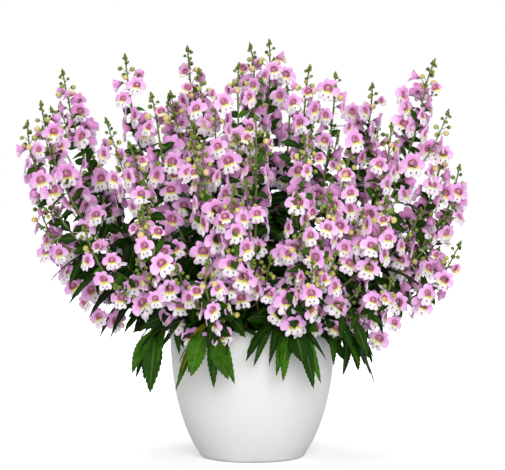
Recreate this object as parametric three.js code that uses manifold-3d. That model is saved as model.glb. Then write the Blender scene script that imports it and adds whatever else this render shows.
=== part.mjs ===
// Potted angelonia: a white bowl-shaped pot filled with soil, with flowering stems and leafy shoots
// that stand in plain holes in the soil. Millimetres, +Z up, the origin on the surface that the pot
// stands on, below its middle. The front of the plant faces -Y.

import * as THREE from 'three';
import { mergeVertices } from 'three/addons/utils/BufferGeometryUtils.js';
import Module from 'manifold-3d';

const wasm = await Module();
wasm.setup();

// Pot and soil
const POT_HEIGHT = 145;
const POT_FOOT_RADIUS = 52;
const POT_HEEL_RADIUS = 59;
const POT_HEEL_HEIGHT = 5;
const POT_RIM_RADIUS = 91;
const POT_BULGE_LOW = new THREE.Vector2(84.5, 43);
const POT_BULGE_HIGH = new THREE.Vector2(90, 90);
const POT_WALL = 3.2;
const POT_LIP = 1;
const POT_SIDES = 36;
const POT_STEPS = 6;
const SOIL_SIDES = 18;
const SEAT_GAP = 0.3;
const SOIL_BELOW_RIM = 16;
const SOIL_MOUND = 5;
const SOIL_CROWN_RADIUS = 66;
const SOIL_TOP = POT_HEIGHT - SOIL_BELOW_RIM;
const SOIL_CROWN = SOIL_TOP + SOIL_MOUND;

// The dome that the tips of the flowering stems reach
const DOME_ACROSS = 242;
const DOME_DEEP = 205;
const DOME_MIDDLE = 140;
const DOME_RISE = 315;

// Tips of the stems that the front view shows, across and up. Those that stand out of the dome are
// stepped in depth
const FRONT_TIPS = [
  [-248, 370], [-238, 292], [-212, 428], [-138, 440], [-104, 398], [-72, 455], [-16, 428], [2, 456],
  [20, 463], [58, 427], [90, 420], [136, 415], [192, 436], [150, 366], [232, 322], [98, 340],
  [56, 352], [4, 372], [-52, 342], [-124, 346], [-186, 344], [-22, 300], [78, 294], [140, 290],
  [218, 240], [62, 226], [142, 208], [-50, 226], [-172, 258], [-112, 280], [-230, 390], [212, 346],
  [-56, 424], [-40, 390],
];
const SKYLINE_STEP = 34;

// Stems of the far side, spread over the back of the dome in an even spiral
const BACK_STEMS = 10;
const BACK_LOWEST = 215;
const BACK_HIGHEST = 425;
const BACK_SPREAD = THREE.MathUtils.degToRad(169);
const GOLDEN_ANGLE = THREE.MathUtils.degToRad(137.5);

// Roots in the soil
const STEM_DEPTH = 14;
const HOLE_CLEARANCE = 0.45;
const ROOT_REACH = 100;
const ROOT_LIMIT = 74;
const ROOT_SPACING = 9;
const ROOT_ROUNDS = 200;
const NEAREST_ROOTS = 0.01;

// Stems. The shares shape the line of a stem: of its run for its first rise and its last stretch, of its
// reach for its early swing outward and its lean at the tip
const STEM_SIDES = 3;
const STEM_PARTS = 5;
const STEM_ROOT_RADIUS = 2.1;
const STEM_TOP_RADIUS = 1.1;
const STEM_FIRST_RISE = 30;
const STEM_RISE_SHARE = 0.14;
const STEM_SWING_SHARE = 0.3;
const STEM_END_SHARE = 0.58;
const STEM_TIP_LEAN = 0.18;
const LOW_TIP = 235;
const TALL_TIP = 395;
const STEM_SWAYS = [0, 12, -12, 24, -24, 36, -36];
const STEM_LIFTS = [0, 14, 28];
const STEM_BENDS = STEM_LIFTS.flatMap((lift) => STEM_SWAYS.map((sway) => ({ sway, lift })));
const STEM_SPACING = 6;
const STEM_STEPS = 60;
const RIM_GAP = 5;
const TIP_CLUSTER_LENGTH = 15;
const TIP_CLUSTER_RADIUS = 3.4;

// Flowers. A raceme has room for one at each pitch, and every fourth is built, larger than life
const RACEME_LENGTH = 152;
const RACEME_SHARE = 0.7;
const FIRST_FLOWER = 42;
const FLOWER_PITCH = 6.4;
const FLOWER_STRIDE = 4;
const FLOWER_SPACING = 13;
const FLOWER_TURNS = [0, 0.6, -0.6, 1.2, -1.2];
const FLOWER_REACH = 14.6;
const FLOWER_CUP = 5;
const CUP_WALL = 2;
const YOUNGEST_SIZE = 0.84;
const FULL_SIZE_ORDER = 6;
const FLOWER_FITS = [1, 0.9, 0.8, 0.7];
const PEDICEL = 15;
const PEDICEL_RISE = 0.5;
const PEDICEL_HEEL = 0.6;
const CALYX_RADIUS = 1.9;
const FACING_TILT = 0.4;
const FACING_OUTWARD = 0.6;
// Round the rim of a flower: degrees from its top, share of its reach, and share of it forward
const FLOWER_RIM = [
  [325, 1, 0.1], [290, 0.62, -0.1], [255, 1, 0], [180, 1.05, 0.05], [105, 1, 0], [70, 0.62, -0.1],
  [35, 1, 0.1], [0, 0.8, 0.05],
];

// Buds: distance from the tip and radius
const BUDS = [[33, 3], [22, 2.4]];
const BUD_TURNS = [0, 1, 2, 3];
const BUD_RISE = 0.7;
const BUD_STALK = 3.2;
const BUD_LENGTH = 1.3;

// Leaves. Each station is a share of the length and the width there as a share of the widest
const LEAF_LENGTH = 52;
const LEAF_WIDTH = 14;
const LEAF_THICKNESS = 1.3;
const LEAF_PITCH = 26;
const LEAF_ANGLE = 2.2;
const LEAF_RISE = 0.6;
const LEAF_SWING = 1;
const LEAF_SIZES = [0.9, 1.2];
const LEAF_DROOPS = [0.3, 0.5];
const LEAF_STEP = 0.02;
const LEAF_TURNS = [0, 0.4, -0.4, 0.8, -0.8];
const LEAF_STATIONS = [[0.3, 1], [0.5, 0.72], [0.62, 0.76]];
const SHOOT_BEARINGS = [-62, -24, 22, 60, 148, 212];
const SHOOT_ROOT = 72;
const SHOOT_END = 114;
const SHOOT_ARCH = 18;
const SHOOT_END_SHARE = -0.2;
const SHOOT_PARTS = 4;
const SHOOT_RADIUS = 1.9;
const SHOOT_LEAVES = 5;
const SHOOT_LEAF_REACH = 33;
const SHOOT_LEAF_WIDTH = 22;
const SHOOT_LEAF_RISE = 0.35;
const SHOOT_LEAF_ROOTS = [0.72, 0.97];
const SHOOT_LEAF_FANS = [1.4, 0.2];
const SHOOT_LEAF_SWING = 0.8;
const SHOOT_LEAF_SIZES = [0.75, 1.3];
const SHOOT_LEAF_WIDTHS = [0.9, 1.1];
const SHOOT_LEAF_DROOPS = [1.3, 2.2];
const SHOOT_LEAF_TURNS = [0, 0.15, -0.15, 0.3, -0.3];
const SHOOT_LEAF_STATIONS = [[0.3, 0.9], [0.5, 1], [0.6, 0.8], [0.68, 0.86]];

const TRIAL_MARGIN = 1.05;
const SEED = 2024;
const UP = new THREE.Vector3(0, 0, 1);
const vector = (x, y, z) => new THREE.Vector3(x, y, z);

function makeRandom(seed) {
  let state = seed >>> 0;
  const next = () => {
    state = (Math.imul(state, 1664525) + 1013904223) >>> 0;
    return state / 4294967296;
  };
  for (let i = 0; i < 4; i += 1) next();
  return next;
}

function between([low, high], random) {
  return THREE.MathUtils.lerp(low, high, random());
}

// A closed solid through rings of points, where a ring of one point is a pointed end. Neighbouring
// rings may have different counts, and each runs anticlockwise as seen from the end it grows towards
function loft(rings) {
  const points = [];
  const faces = [];
  const indexed = rings.map((ring) => ring.map((point) => points.push(point) - 1));
  const first = indexed[0];
  const last = indexed[indexed.length - 1];
  for (let i = 1; i < first.length - 1; i += 1) faces.push(first[0], first[i + 1], first[i]);
  for (let k = 0; k < indexed.length - 1; k += 1) bridge(faces, indexed[k], indexed[k + 1]);
  for (let i = 1; i < last.length - 1; i += 1) faces.push(last[0], last[i], last[i + 1]);
  const geometry = new THREE.BufferGeometry().setFromPoints(points);
  geometry.setIndex(faces);
  return geometry;
}

function bridge(faces, a, b) {
  const stepsOfA = a.length > 1 ? a.length : 0;
  const stepsOfB = b.length > 1 ? b.length : 0;
  let i = 0;
  let j = 0;
  while (i < stepsOfA || j < stepsOfB) {
    const fromA = a[i % a.length];
    const fromB = b[j % b.length];
    if (j >= stepsOfB || (i < stepsOfA && (i + 1) / stepsOfA <= (j + 1) / stepsOfB)) {
      faces.push(fromA, a[(i + 1) % a.length], fromB);
      i += 1;
    } else {
      faces.push(fromA, b[(j + 1) % b.length], fromB);
      j += 1;
    }
  }
}

function ring(centre, right, up, radius, count) {
  return Array.from({ length: count }, (_, i) => {
    const angle = (2 * Math.PI * i) / count;
    return centre.clone()
      .addScaledVector(right, radius * Math.cos(angle))
      .addScaledVector(up, radius * Math.sin(angle));
  });
}

// Two directions square to an axis: the second is as near to hint as it can be
function squareTo(axis, hint) {
  const up = hint.clone().addScaledVector(axis, -hint.dot(axis)).normalize();
  return { right: up.clone().cross(axis), up };
}

function solidOf(geometry) {
  const merged = mergeVertices(new THREE.BufferGeometry()
    .setAttribute('position', geometry.getAttribute('position'))
    .setIndex(geometry.index), 1e-4);
  return new wasm.Manifold(new wasm.Mesh({
    numProp: 3,
    vertProperties: merged.attributes.position.array,
    triVerts: new Uint32Array(merged.index.array),
  }));
}

function geometryOf(solid) {
  const { vertProperties, triVerts } = solid.getMesh();
  return new THREE.BufferGeometry()
    .setAttribute('position', new THREE.BufferAttribute(new Float32Array(vertProperties), 3))
    .setIndex(new THREE.BufferAttribute(new Uint32Array(triVerts), 1));
}

// Solids joined into one. Spaces that the join shuts in are filled
function joined(solids) {
  const shells = wasm.Manifold.union(solids).decompose();
  return shells.filter((shell) => shell.volume() > 0).reduce((a, b) => (a.volume() > b.volume() ? a : b));
}

// A line through points, measured by its length
function lineThrough(points) {
  const lengths = [0];
  for (let i = 1; i < points.length; i += 1) {
    lengths.push(lengths[i - 1] + points[i].distanceTo(points[i - 1]));
  }
  const length = lengths[lengths.length - 1];
  const at = (distance) => {
    const wanted = Math.min(Math.max(distance, 0), length);
    let i = 1;
    while (i < lengths.length - 1 && lengths[i] < wanted) i += 1;
    const share = (wanted - lengths[i - 1]) / (lengths[i] - lengths[i - 1]);
    const tangent = points[i].clone().sub(points[i - 1]).normalize();
    return { point: points[i - 1].clone().lerp(points[i], share), tangent };
  };
  return { length, lengths, at, points };
}

// Outside of the pot's wall, from its heel to its rim
function potOutline() {
  return new THREE.CubicBezierCurve(
    new THREE.Vector2(POT_HEEL_RADIUS, POT_HEEL_HEIGHT),
    POT_BULGE_LOW,
    POT_BULGE_HIGH,
    new THREE.Vector2(POT_RIM_RADIUS, POT_HEIGHT),
  ).getPoints(POT_STEPS);
}

// The inside of the wall has fewer corners, at every second one of its outside
function innerWall(inset) {
  return potOutline()
    .filter((_, i) => i > 0 && i < POT_STEPS && i % 2 === 0)
    .map((point) => new THREE.Vector2(point.x - inset, point.y));
}

function potGeometry() {
  const floor = POT_WALL + POT_HEEL_HEIGHT;
  const profile = [
    new THREE.Vector2(0, 0),
    new THREE.Vector2(POT_FOOT_RADIUS, 0),
    ...potOutline().slice(0, -1),
    new THREE.Vector2(POT_RIM_RADIUS, POT_HEIGHT - POT_LIP),
    new THREE.Vector2(POT_RIM_RADIUS - POT_LIP, POT_HEIGHT),
    new THREE.Vector2(POT_RIM_RADIUS - POT_WALL, POT_HEIGHT - POT_LIP),
    ...innerWall(POT_WALL).reverse(),
    new THREE.Vector2(POT_HEEL_RADIUS - POT_WALL, floor),
    new THREE.Vector2(0, floor),
  ];
  return new THREE.LatheGeometry(profile, POT_SIDES).rotateX(Math.PI / 2);
}

// Soil: fills the pot to a little below its rim, with a plain hole for each root
function soilGeometry(roots) {
  const inset = POT_WALL + SEAT_GAP;
  const floor = POT_WALL + POT_HEEL_HEIGHT + SEAT_GAP;
  const wall = innerWall(inset);
  const profile = [
    new THREE.Vector2(0, floor),
    new THREE.Vector2(POT_HEEL_RADIUS - inset, floor),
    ...wall,
    new THREE.Vector2(wall[wall.length - 1].x, SOIL_TOP),
    new THREE.Vector2(SOIL_CROWN_RADIUS, SOIL_CROWN),
    new THREE.Vector2(0, SOIL_CROWN),
  ];
  const body = solidOf(new THREE.LatheGeometry(profile, SOIL_SIDES).rotateX(Math.PI / 2));
  const radius = STEM_ROOT_RADIUS + HOLE_CLEARANCE;
  const height = 2 * STEM_DEPTH;
  const hole = new THREE.CylinderGeometry(radius, radius, height, STEM_SIDES, 1, false, Math.PI / 2)
    .rotateX(Math.PI / 2)
    .translate(0, 0, SOIL_TOP - STEM_DEPTH - SEAT_GAP + height / 2);
  const holes = roots.map(({ x, y }) => solidOf(hole.clone().translate(x, y, 0)));
  return geometryOf(body.subtract(wasm.Manifold.union(holes)));
}

// Square of the dome's reach at a rise, as a share of its widest
function domeReach(rise) {
  return 1 - ((rise - DOME_MIDDLE) / DOME_RISE) ** 2;
}

function tipPlaces() {
  const front = FRONT_TIPS.map(([across, rise], i) => {
    const left = domeReach(rise) - (across / DOME_ACROSS) ** 2;
    const depth = left > 0 ? DOME_DEEP * Math.sqrt(left) : SKYLINE_STEP * (1 - (i % 3));
    return vector(across, -depth, rise);
  });
  const back = Array.from({ length: BACK_STEMS }, (_, i) => {
    const rise = THREE.MathUtils.lerp(BACK_LOWEST, BACK_HIGHEST, (i + 0.5) / BACK_STEMS);
    const reach = Math.sqrt(domeReach(rise));
    const turns = ((i + 0.5) * GOLDEN_ANGLE) / (2 * Math.PI);
    const bearing = (turns - Math.floor(turns) - 0.5) * BACK_SPREAD;
    return vector(DOME_ACROSS * reach * Math.sin(bearing), DOME_DEEP * reach * Math.cos(bearing), rise);
  });
  return [...front, ...back];
}

// Roots lie under the tips: the more a stem leans, the nearer it stands to the rim. Roots that come
// too close are pushed apart
function rootPlaces(tips, shoots) {
  const roots = tips.map((tip) => {
    const across = Math.hypot(tip.x, tip.y);
    const lean = Math.atan2(across, tip.z - SOIL_TOP) / (Math.PI / 2);
    return vector(tip.x, tip.y, 0).multiplyScalar((ROOT_REACH * lean) / across).setZ(SOIL_TOP - STEM_DEPTH);
  });
  for (let round = 0; round < ROOT_ROUNDS; round += 1) {
    for (let i = 0; i < roots.length; i += 1) {
      for (let j = i + 1; j < roots.length; j += 1) pushApart(roots[i], roots[j], 0.5, 0.5);
      for (const shoot of shoots) pushApart(roots[i], shoot, 1, 0);
      const across = Math.hypot(roots[i].x, roots[i].y);
      if (across > ROOT_LIMIT) {
        roots[i].x *= ROOT_LIMIT / across;
        roots[i].y *= ROOT_LIMIT / across;
      }
    }
  }
  return roots;
}

function pushApart(a, b, shareOfA, shareOfB) {
  const apart = b.clone().sub(a);
  const distance = Math.max(apart.length(), NEAREST_ROOTS);
  if (distance >= ROOT_SPACING) return;
  apart.multiplyScalar((ROOT_SPACING - distance) / distance);
  a.addScaledVector(apart, -shareOfA);
  b.addScaledVector(apart, shareOfB);
}

// The line of a flowering stem: upright in the soil, out over the rim, then up to its tip. Sway bends
// its middle to one side, and lift bends it upwards
function stemLine(root, tip, { sway, lift }) {
  const surface = root.clone().setZ(SOIL_CROWN);
  const outward = vector(tip.x, tip.y, 0);
  const reach = outward.length();
  const run = surface.distanceTo(tip);
  const tallness = THREE.MathUtils.clamp((tip.z - LOW_TIP) / (TALL_TIP - LOW_TIP), 0, 1);
  outward.normalize();
  const side = outward.clone().cross(UP).multiplyScalar(sway);
  const lean = outward.clone().multiplyScalar((STEM_TIP_LEAN * reach) / DOME_ACROSS).add(UP).normalize();
  const start = surface.clone()
    .addScaledVector(UP, STEM_FIRST_RISE + STEM_RISE_SHARE * run + lift)
    .addScaledVector(outward, STEM_SWING_SHARE * tallness * reach)
    .add(side);
  const end = tip.clone().addScaledVector(lean, -STEM_END_SHARE * run).add(side);
  const curve = new THREE.CubicBezierCurve3(surface, start, end, tip);
  return lineThrough([root, ...curve.getPoints(STEM_PARTS)]);
}

// Bends the stems, one after another, until each keeps clear of those before it
function stemLines(roots, tips) {
  const traced = [];
  return tips.map((tip, i) => {
    for (const bend of STEM_BENDS) {
      const line = stemLine(roots[i], tip, bend);
      const trace = Array.from({ length: STEM_STEPS + 1 }, (_, k) => (
        line.at((line.length * k) / STEM_STEPS).point));
      const apart = traced.every((other) => (
        other.every((a) => trace.every((b) => a.distanceTo(b) > STEM_SPACING))));
      if (apart && trace.every(isClearOfRim)) {
        traced.push(trace);
        return line;
      }
    }
    throw new Error(`stem ${i + 1} meets a stem before it`);
  });
}

function isClearOfRim(point) {
  const inside = Math.hypot(point.x, point.y) < POT_RIM_RADIUS - POT_WALL - RIM_GAP;
  return inside || point.z > POT_HEIGHT + RIM_GAP;
}

// A stem thickens at its tip, where the youngest buds sit close together
function stemGeometry(line) {
  const last = line.points.length - 2;
  const cluster = line.length - TIP_CLUSTER_LENGTH;
  const stations = line.lengths.slice(0, last + 1).map((distance, i) => (
    [distance, THREE.MathUtils.lerp(STEM_ROOT_RADIUS, STEM_TOP_RADIUS, Math.max(i - 1, 0) / last)]));
  stations.push([cluster, STEM_TOP_RADIUS], [cluster + TIP_CLUSTER_LENGTH / 2, TIP_CLUSTER_RADIUS]);
  const rings = stations.map(([distance, radius]) => ringOnLine(line, distance, radius));
  return loft([...rings, [line.at(line.length).point]]);
}

function ringOnLine(line, distance, radius) {
  const { point, tangent } = line.at(distance);
  const { right, up } = squareTo(tangent, vector(0, 1, 0));
  return ring(point, right, up, radius, STEM_SIDES);
}

// The directions round a place on a stem, from outward at angle 0 and then to the side
function aroundStem(line, distance, angle) {
  const { point, tangent } = line.at(distance);
  const level = vector(point.x, point.y, 0).normalize();
  const outward = level.clone().addScaledVector(tangent, -level.dot(tangent)).normalize();
  const side = tangent.clone().cross(outward);
  const radial = outward.multiplyScalar(Math.cos(angle)).addScaledVector(side, Math.sin(angle));
  return { point, tangent, level, radial };
}

function racemeLength(line) {
  return Math.min(RACEME_LENGTH, RACEME_SHARE * line.length);
}

// Places of the flowers of one raceme, youngest first, in a spiral down the stem. One that would crowd
// another turns aside, or is left out
function flowerPlaces(line, start, taken) {
  const count = Math.floor((racemeLength(line) - FIRST_FLOWER) / FLOWER_PITCH);
  const flowers = [];
  for (let order = 0; order < count; order += 1) {
    const trials = FLOWER_TURNS.map((turn) => flowerAt(line, start + turn, order));
    const flower = trials.find(({ throat }) => hasRoom(throat, taken));
    if (flower) {
      taken.push(flower.throat);
      flowers.push(flower);
    }
  }
  return flowers;
}

function flowerAt(line, start, order) {
  const distance = line.length - FIRST_FLOWER - order * FLOWER_PITCH;
  const { point, tangent, level, radial } = aroundStem(line, distance, start + order * GOLDEN_ANGLE);
  const pedicel = radial.clone().addScaledVector(tangent, PEDICEL_RISE).normalize();
  const throat = point.clone().addScaledVector(pedicel, PEDICEL);
  const facing = vector(radial.x, radial.y, radial.z * FACING_TILT)
    .addScaledVector(level, FACING_OUTWARD)
    .normalize();
  const size = THREE.MathUtils.lerp(YOUNGEST_SIZE, 1, Math.min(1, order / FULL_SIZE_ORDER));
  return { root: point, throat, facing, tangent, size, order };
}

function hasRoom(throat, taken) {
  const pastRim = Math.hypot(throat.x, throat.y) > POT_RIM_RADIUS + FLOWER_REACH;
  const aboveRim = throat.z > POT_HEIGHT + FLOWER_REACH;
  return (pastRim || aboveRim) && taken.every((other) => other.distanceTo(throat) > FLOWER_SPACING);
}

// A flower: pedicel, calyx and a cup with two lobes above and a broad lip of three lobes below
function flowerGeometry({ root, throat, facing, tangent, size }, fit) {
  const { right, up } = squareTo(facing, tangent.clone().add(UP));
  const reach = FLOWER_REACH * size * fit;
  const cup = FLOWER_CUP * fit;
  const heel = root.clone().addScaledVector(throat.clone().sub(root).normalize(), -PEDICEL_HEEL);
  const calyx = throat.clone().addScaledVector(facing, -cup - CUP_WALL);
  const bottom = throat.clone().addScaledVector(facing, -cup);
  const rim = FLOWER_RIM.map(([degrees, share, forward]) => {
    const angle = THREE.MathUtils.degToRad(degrees);
    return throat.clone()
      .addScaledVector(right, reach * share * Math.sin(angle))
      .addScaledVector(up, reach * share * Math.cos(angle))
      .addScaledVector(facing, reach * forward);
  });
  return loft([[heel], ring(calyx, right, up, CALYX_RADIUS, 3), rim, [bottom]]);
}

function budGeometry(line, distance, angle, radius) {
  const { point, tangent, radial } = aroundStem(line, distance, angle);
  const axis = radial.clone().addScaledVector(tangent, BUD_RISE).normalize();
  const { right, up } = squareTo(axis, tangent);
  const heel = point.clone().addScaledVector(axis, -PEDICEL_HEEL);
  const middle = point.clone().addScaledVector(axis, BUD_STALK * radius);
  const end = middle.clone().addScaledVector(axis, BUD_LENGTH * radius);
  return loft([[heel], ring(middle, right, up, radius, 4), [end]]);
}

// A blade with a toothed edge and a raised rib, which arches down towards its tip
function leafGeometry({ root, direction, length, width, droop, stations }) {
  const side = UP.clone().cross(direction).normalize();
  const along = (share) => root.clone()
    .addScaledVector(direction, length * share)
    .addScaledVector(UP, -droop * length * share * share);
  const rings = stations.map(([share, wide]) => {
    const middle = along(share);
    const tangent = along(share + LEAF_STEP).sub(middle).normalize();
    const normal = tangent.clone().cross(side).normalize();
    return [
      middle.clone().addScaledVector(side, (wide * width) / 2),
      middle.clone().addScaledVector(normal, LEAF_THICKNESS / 2),
      middle.clone().addScaledVector(side, (-wide * width) / 2),
      middle.clone().addScaledVector(normal, -LEAF_THICKNESS / 2),
    ];
  });
  return loft([[along(-LEAF_STEP)], ...rings, [along(1)]]);
}

// Leaves of a flowering stem, below its raceme
function stemLeaves({ line, random, leafCount }) {
  const top = line.length - racemeLength(line) - LEAF_PITCH / 2;
  const lowest = STEM_DEPTH + SOIL_MOUND + LEAF_PITCH / 2;
  return Array.from({ length: leafCount }, (_, i) => {
    const distance = Math.max(top - LEAF_PITCH * i, lowest);
    const angle = (i - 0.5) * LEAF_ANGLE + LEAF_SWING * (random() - 0.5);
    const { point, tangent, radial } = aroundStem(line, distance, angle);
    return {
      root: point,
      direction: radial.clone().addScaledVector(tangent, LEAF_RISE).normalize(),
      length: LEAF_LENGTH * between(LEAF_SIZES, random),
      width: LEAF_WIDTH,
      droop: between(LEAF_DROOPS, random),
      stations: LEAF_STATIONS,
    };
  });
}

// A leafy shoot leans over the rim, and its large leaves hang outside the pot
function shootPlaces() {
  return SHOOT_BEARINGS.map((bearing, i) => {
    const angle = THREE.MathUtils.degToRad(bearing);
    const level = vector(Math.sin(angle), -Math.cos(angle), 0);
    const at = (across, rise) => level.clone().multiplyScalar(across).setZ(rise);
    const root = at(SHOOT_ROOT, SOIL_TOP - STEM_DEPTH);
    const curve = new THREE.CubicBezierCurve3(
      at(SHOOT_ROOT, SOIL_CROWN),
      at(SHOOT_ROOT, POT_HEIGHT + SHOOT_ARCH),
      at(POT_RIM_RADIUS, POT_HEIGHT + SHOOT_ARCH),
      at(SHOOT_END, POT_HEIGHT + SHOOT_ARCH * SHOOT_END_SHARE),
    );
    const line = lineThrough([root, ...curve.getPoints(SHOOT_PARTS)]);
    return { name: `leafy_shoot_${i + 1}`, root, level, line, order: i };
  });
}

function shootGeometry({ line }) {
  const rings = line.lengths.slice(0, -1).map((distance) => ringOnLine(line, distance, SHOOT_RADIUS));
  return loft([...rings, [line.at(line.length).point]]);
}

// Leaves of a shoot, to alternate sides, fanned out from the way the shoot points
function shootLeaves({ line, level, order }) {
  const random = makeRandom(SEED - 1 - order);
  const side = level.clone().cross(UP);
  return Array.from({ length: SHOOT_LEAVES }, (_, i) => {
    const share = i / (SHOOT_LEAVES - 1);
    const hand = (i + order) % 2 === 0 ? 1 : -1;
    const fan = hand * THREE.MathUtils.lerp(...SHOOT_LEAF_FANS, share) + SHOOT_LEAF_SWING * (random() - 0.5);
    const direction = level.clone().addScaledVector(side, fan).normalize();
    return {
      root: line.at(line.length * THREE.MathUtils.lerp(...SHOOT_LEAF_ROOTS, share)).point,
      direction: direction.addScaledVector(UP, SHOOT_LEAF_RISE),
      length: SHOOT_LEAF_REACH * between(SHOOT_LEAF_SIZES, random),
      width: SHOOT_LEAF_WIDTH * between(SHOOT_LEAF_WIDTHS, random),
      droop: between(SHOOT_LEAF_DROOPS, random),
      stations: SHOOT_LEAF_STATIONS,
    };
  });
}

// Solids that are in place, each with the node that owns it
const placed = [];

function boxesMeet(a, b) {
  return [0, 1, 2].every((k) => a.min[k] <= b.max[k] && b.min[k] <= a.max[k]);
}

// Whether a solid, made a little larger so that a gap stays, is clear of every other node
function isClear(geometry, owner) {
  geometry.computeBoundingBox();
  const middle = geometry.boundingBox.getCenter(vector(0, 0, 0));
  const grown = geometry.clone()
    .translate(-middle.x, -middle.y, -middle.z)
    .scale(TRIAL_MARGIN, TRIAL_MARGIN, TRIAL_MARGIN)
    .translate(middle.x, middle.y, middle.z);
  const solid = solidOf(grown);
  const box = solid.boundingBox();
  return placed.every((other) => other.owner === owner || !boxesMeet(box, other.box)
    || solid.intersect(other.solid).isEmpty());
}

function place(geometry, owner) {
  const solid = solidOf(geometry);
  placed.push({ solid, owner, box: solid.boundingBox() });
}

// Places the first of some trials that is clear of every other node, or leaves the piece out
function placeFirstClear(trials, owner) {
  const geometry = trials.find((trial) => isClear(trial, owner));
  if (geometry) place(geometry, owner);
}

function placeLeaf(leaf, turns, owner) {
  const trials = turns.map((turn) => (
    leafGeometry({ ...leaf, direction: leaf.direction.clone().applyAxisAngle(UP, turn) })));
  placeFirstClear(trials, owner);
}

const materials = {
  pot: new THREE.MeshStandardMaterial({ color: 0xe9e9e8, roughness: 0.35, metalness: 0 }),
  soil: new THREE.MeshStandardMaterial({ color: 0x33261c, roughness: 0.95, metalness: 0 }),
  bloom: new THREE.MeshStandardMaterial({ color: 0xd79ad6, roughness: 0.6, metalness: 0 }),
  leaf: new THREE.MeshStandardMaterial({ color: 0x2f5a22, roughness: 0.5, metalness: 0 }),
};

function meshOf(name, geometry, material) {
  const mesh = new THREE.Mesh(geometry, material);
  mesh.name = name;
  return mesh;
}

function joinedMesh(name, material) {
  const solids = placed.filter(({ owner }) => owner === name).map(({ solid }) => solid);
  return meshOf(name, geometryOf(joined(solids)), material);
}

// Where everything grows from
const shoots = shootPlaces();
const tips = tipPlaces();
const roots = rootPlaces(tips, shoots.map(({ root }) => root));
const taken = [];
const stems = stemLines(roots, tips).map((line, i) => {
  const front = i < FRONT_TIPS.length;
  const random = makeRandom(SEED + i);
  const flowers = flowerPlaces(line, 2 * Math.PI * random(), taken);
  const name = `flowering_stem_${String(i + 1).padStart(2, '0')}`;
  return { name, line, random, flowers, budCount: front ? 2 : 1, leafCount: front ? 3 : 1 };
});

// Stems first, then what stands out of them
const pot = potGeometry();
const soil = soilGeometry([...roots, ...shoots.map(({ root }) => root)]);
place(pot, 'pot');
place(soil, 'soil');
for (const { name, line } of stems) place(stemGeometry(line), name);
for (const shoot of shoots) {
  place(shootGeometry(shoot), shoot.name);
  for (const leaf of shootLeaves(shoot)) placeLeaf(leaf, SHOOT_LEAF_TURNS, shoot.name);
}
for (const { name, flowers } of stems) {
  for (const flower of flowers.filter(({ order }) => order % FLOWER_STRIDE === 0)) {
    placeFirstClear(FLOWER_FITS.map((fit) => flowerGeometry(flower, fit)), name);
  }
}
for (const { name, line, random, budCount } of stems) {
  for (const [distance, radius] of BUDS.slice(0, budCount)) {
    const start = 2 * Math.PI * random();
    const trials = BUD_TURNS.map((turn) => budGeometry(line, line.length - distance, start + turn, radius));
    placeFirstClear(trials, name);
  }
}
for (const stem of stems) {
  for (const leaf of stemLeaves(stem)) placeLeaf(leaf, LEAF_TURNS, stem.name);
}

const plant = new THREE.Group();
plant.add(meshOf('pot', pot, materials.pot));
plant.add(meshOf('soil', soil, materials.soil));
for (const { name } of stems) plant.add(joinedMesh(name, materials.bloom));
for (const { name } of shoots) plant.add(joinedMesh(name, materials.leaf));

export default plant;
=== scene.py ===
"""Potted angelonia in flower: a white bowl-shaped pot of peat, flowering stems and leafy shoots.

Metres, +Z up, the origin on the surface that the pot stands on. The front of the plant faces -Y.
"""

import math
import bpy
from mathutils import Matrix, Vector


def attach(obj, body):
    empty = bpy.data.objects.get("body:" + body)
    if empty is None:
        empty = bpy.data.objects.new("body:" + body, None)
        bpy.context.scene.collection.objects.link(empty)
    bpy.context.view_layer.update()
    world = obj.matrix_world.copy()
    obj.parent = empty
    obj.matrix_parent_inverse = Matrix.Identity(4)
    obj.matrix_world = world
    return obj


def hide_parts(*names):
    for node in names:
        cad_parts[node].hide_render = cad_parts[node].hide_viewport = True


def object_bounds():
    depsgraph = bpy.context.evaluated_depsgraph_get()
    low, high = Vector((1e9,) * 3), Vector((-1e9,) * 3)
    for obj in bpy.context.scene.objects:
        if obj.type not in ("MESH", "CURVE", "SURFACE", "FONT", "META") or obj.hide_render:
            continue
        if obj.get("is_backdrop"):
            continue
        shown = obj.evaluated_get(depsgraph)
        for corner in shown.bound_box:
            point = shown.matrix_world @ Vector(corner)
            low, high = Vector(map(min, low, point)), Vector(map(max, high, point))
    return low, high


bl_info = {
    "name": "Potted Angelonia",
    "version": (1, 0, 0),
    "blender": (4, 5, 0),
    "location": "View3D > Sidebar > Angelonia",
    "description": "Models a potted angelonia: pot, soil, flowering stems and leafy shoots",
    "category": "Add Mesh",
}

import bpy
import numpy as np
from bpy.props import FloatProperty, FloatVectorProperty, IntProperty, PointerProperty
from mathutils import Color, Matrix, Vector, noise

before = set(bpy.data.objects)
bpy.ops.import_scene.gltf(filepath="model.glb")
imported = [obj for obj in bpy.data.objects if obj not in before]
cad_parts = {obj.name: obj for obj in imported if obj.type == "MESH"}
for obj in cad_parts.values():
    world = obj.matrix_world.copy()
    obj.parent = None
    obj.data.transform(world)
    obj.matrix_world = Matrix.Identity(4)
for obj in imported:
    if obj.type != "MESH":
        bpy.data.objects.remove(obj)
cad_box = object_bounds()

TURN = 2 * math.pi
UP = np.array([0.0, 0.0, 1.0])
FRONT = np.array([0.0, -1.0, 0.0])

# Seeds, and the generator of the seeded draws, which the solids share
SEED = 2024
DRESSING_SEED = SEED + 100
SHOOT_SEED = SEED + 300
FLORET_SEED = SEED + 500
CRUMB_SEED = SEED + 900
DRAW_FACTOR = 1664525
DRAW_STEP = 1013904223
DRAW_RANGE = 2**32
DRAWS_SKIPPED = 4

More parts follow.
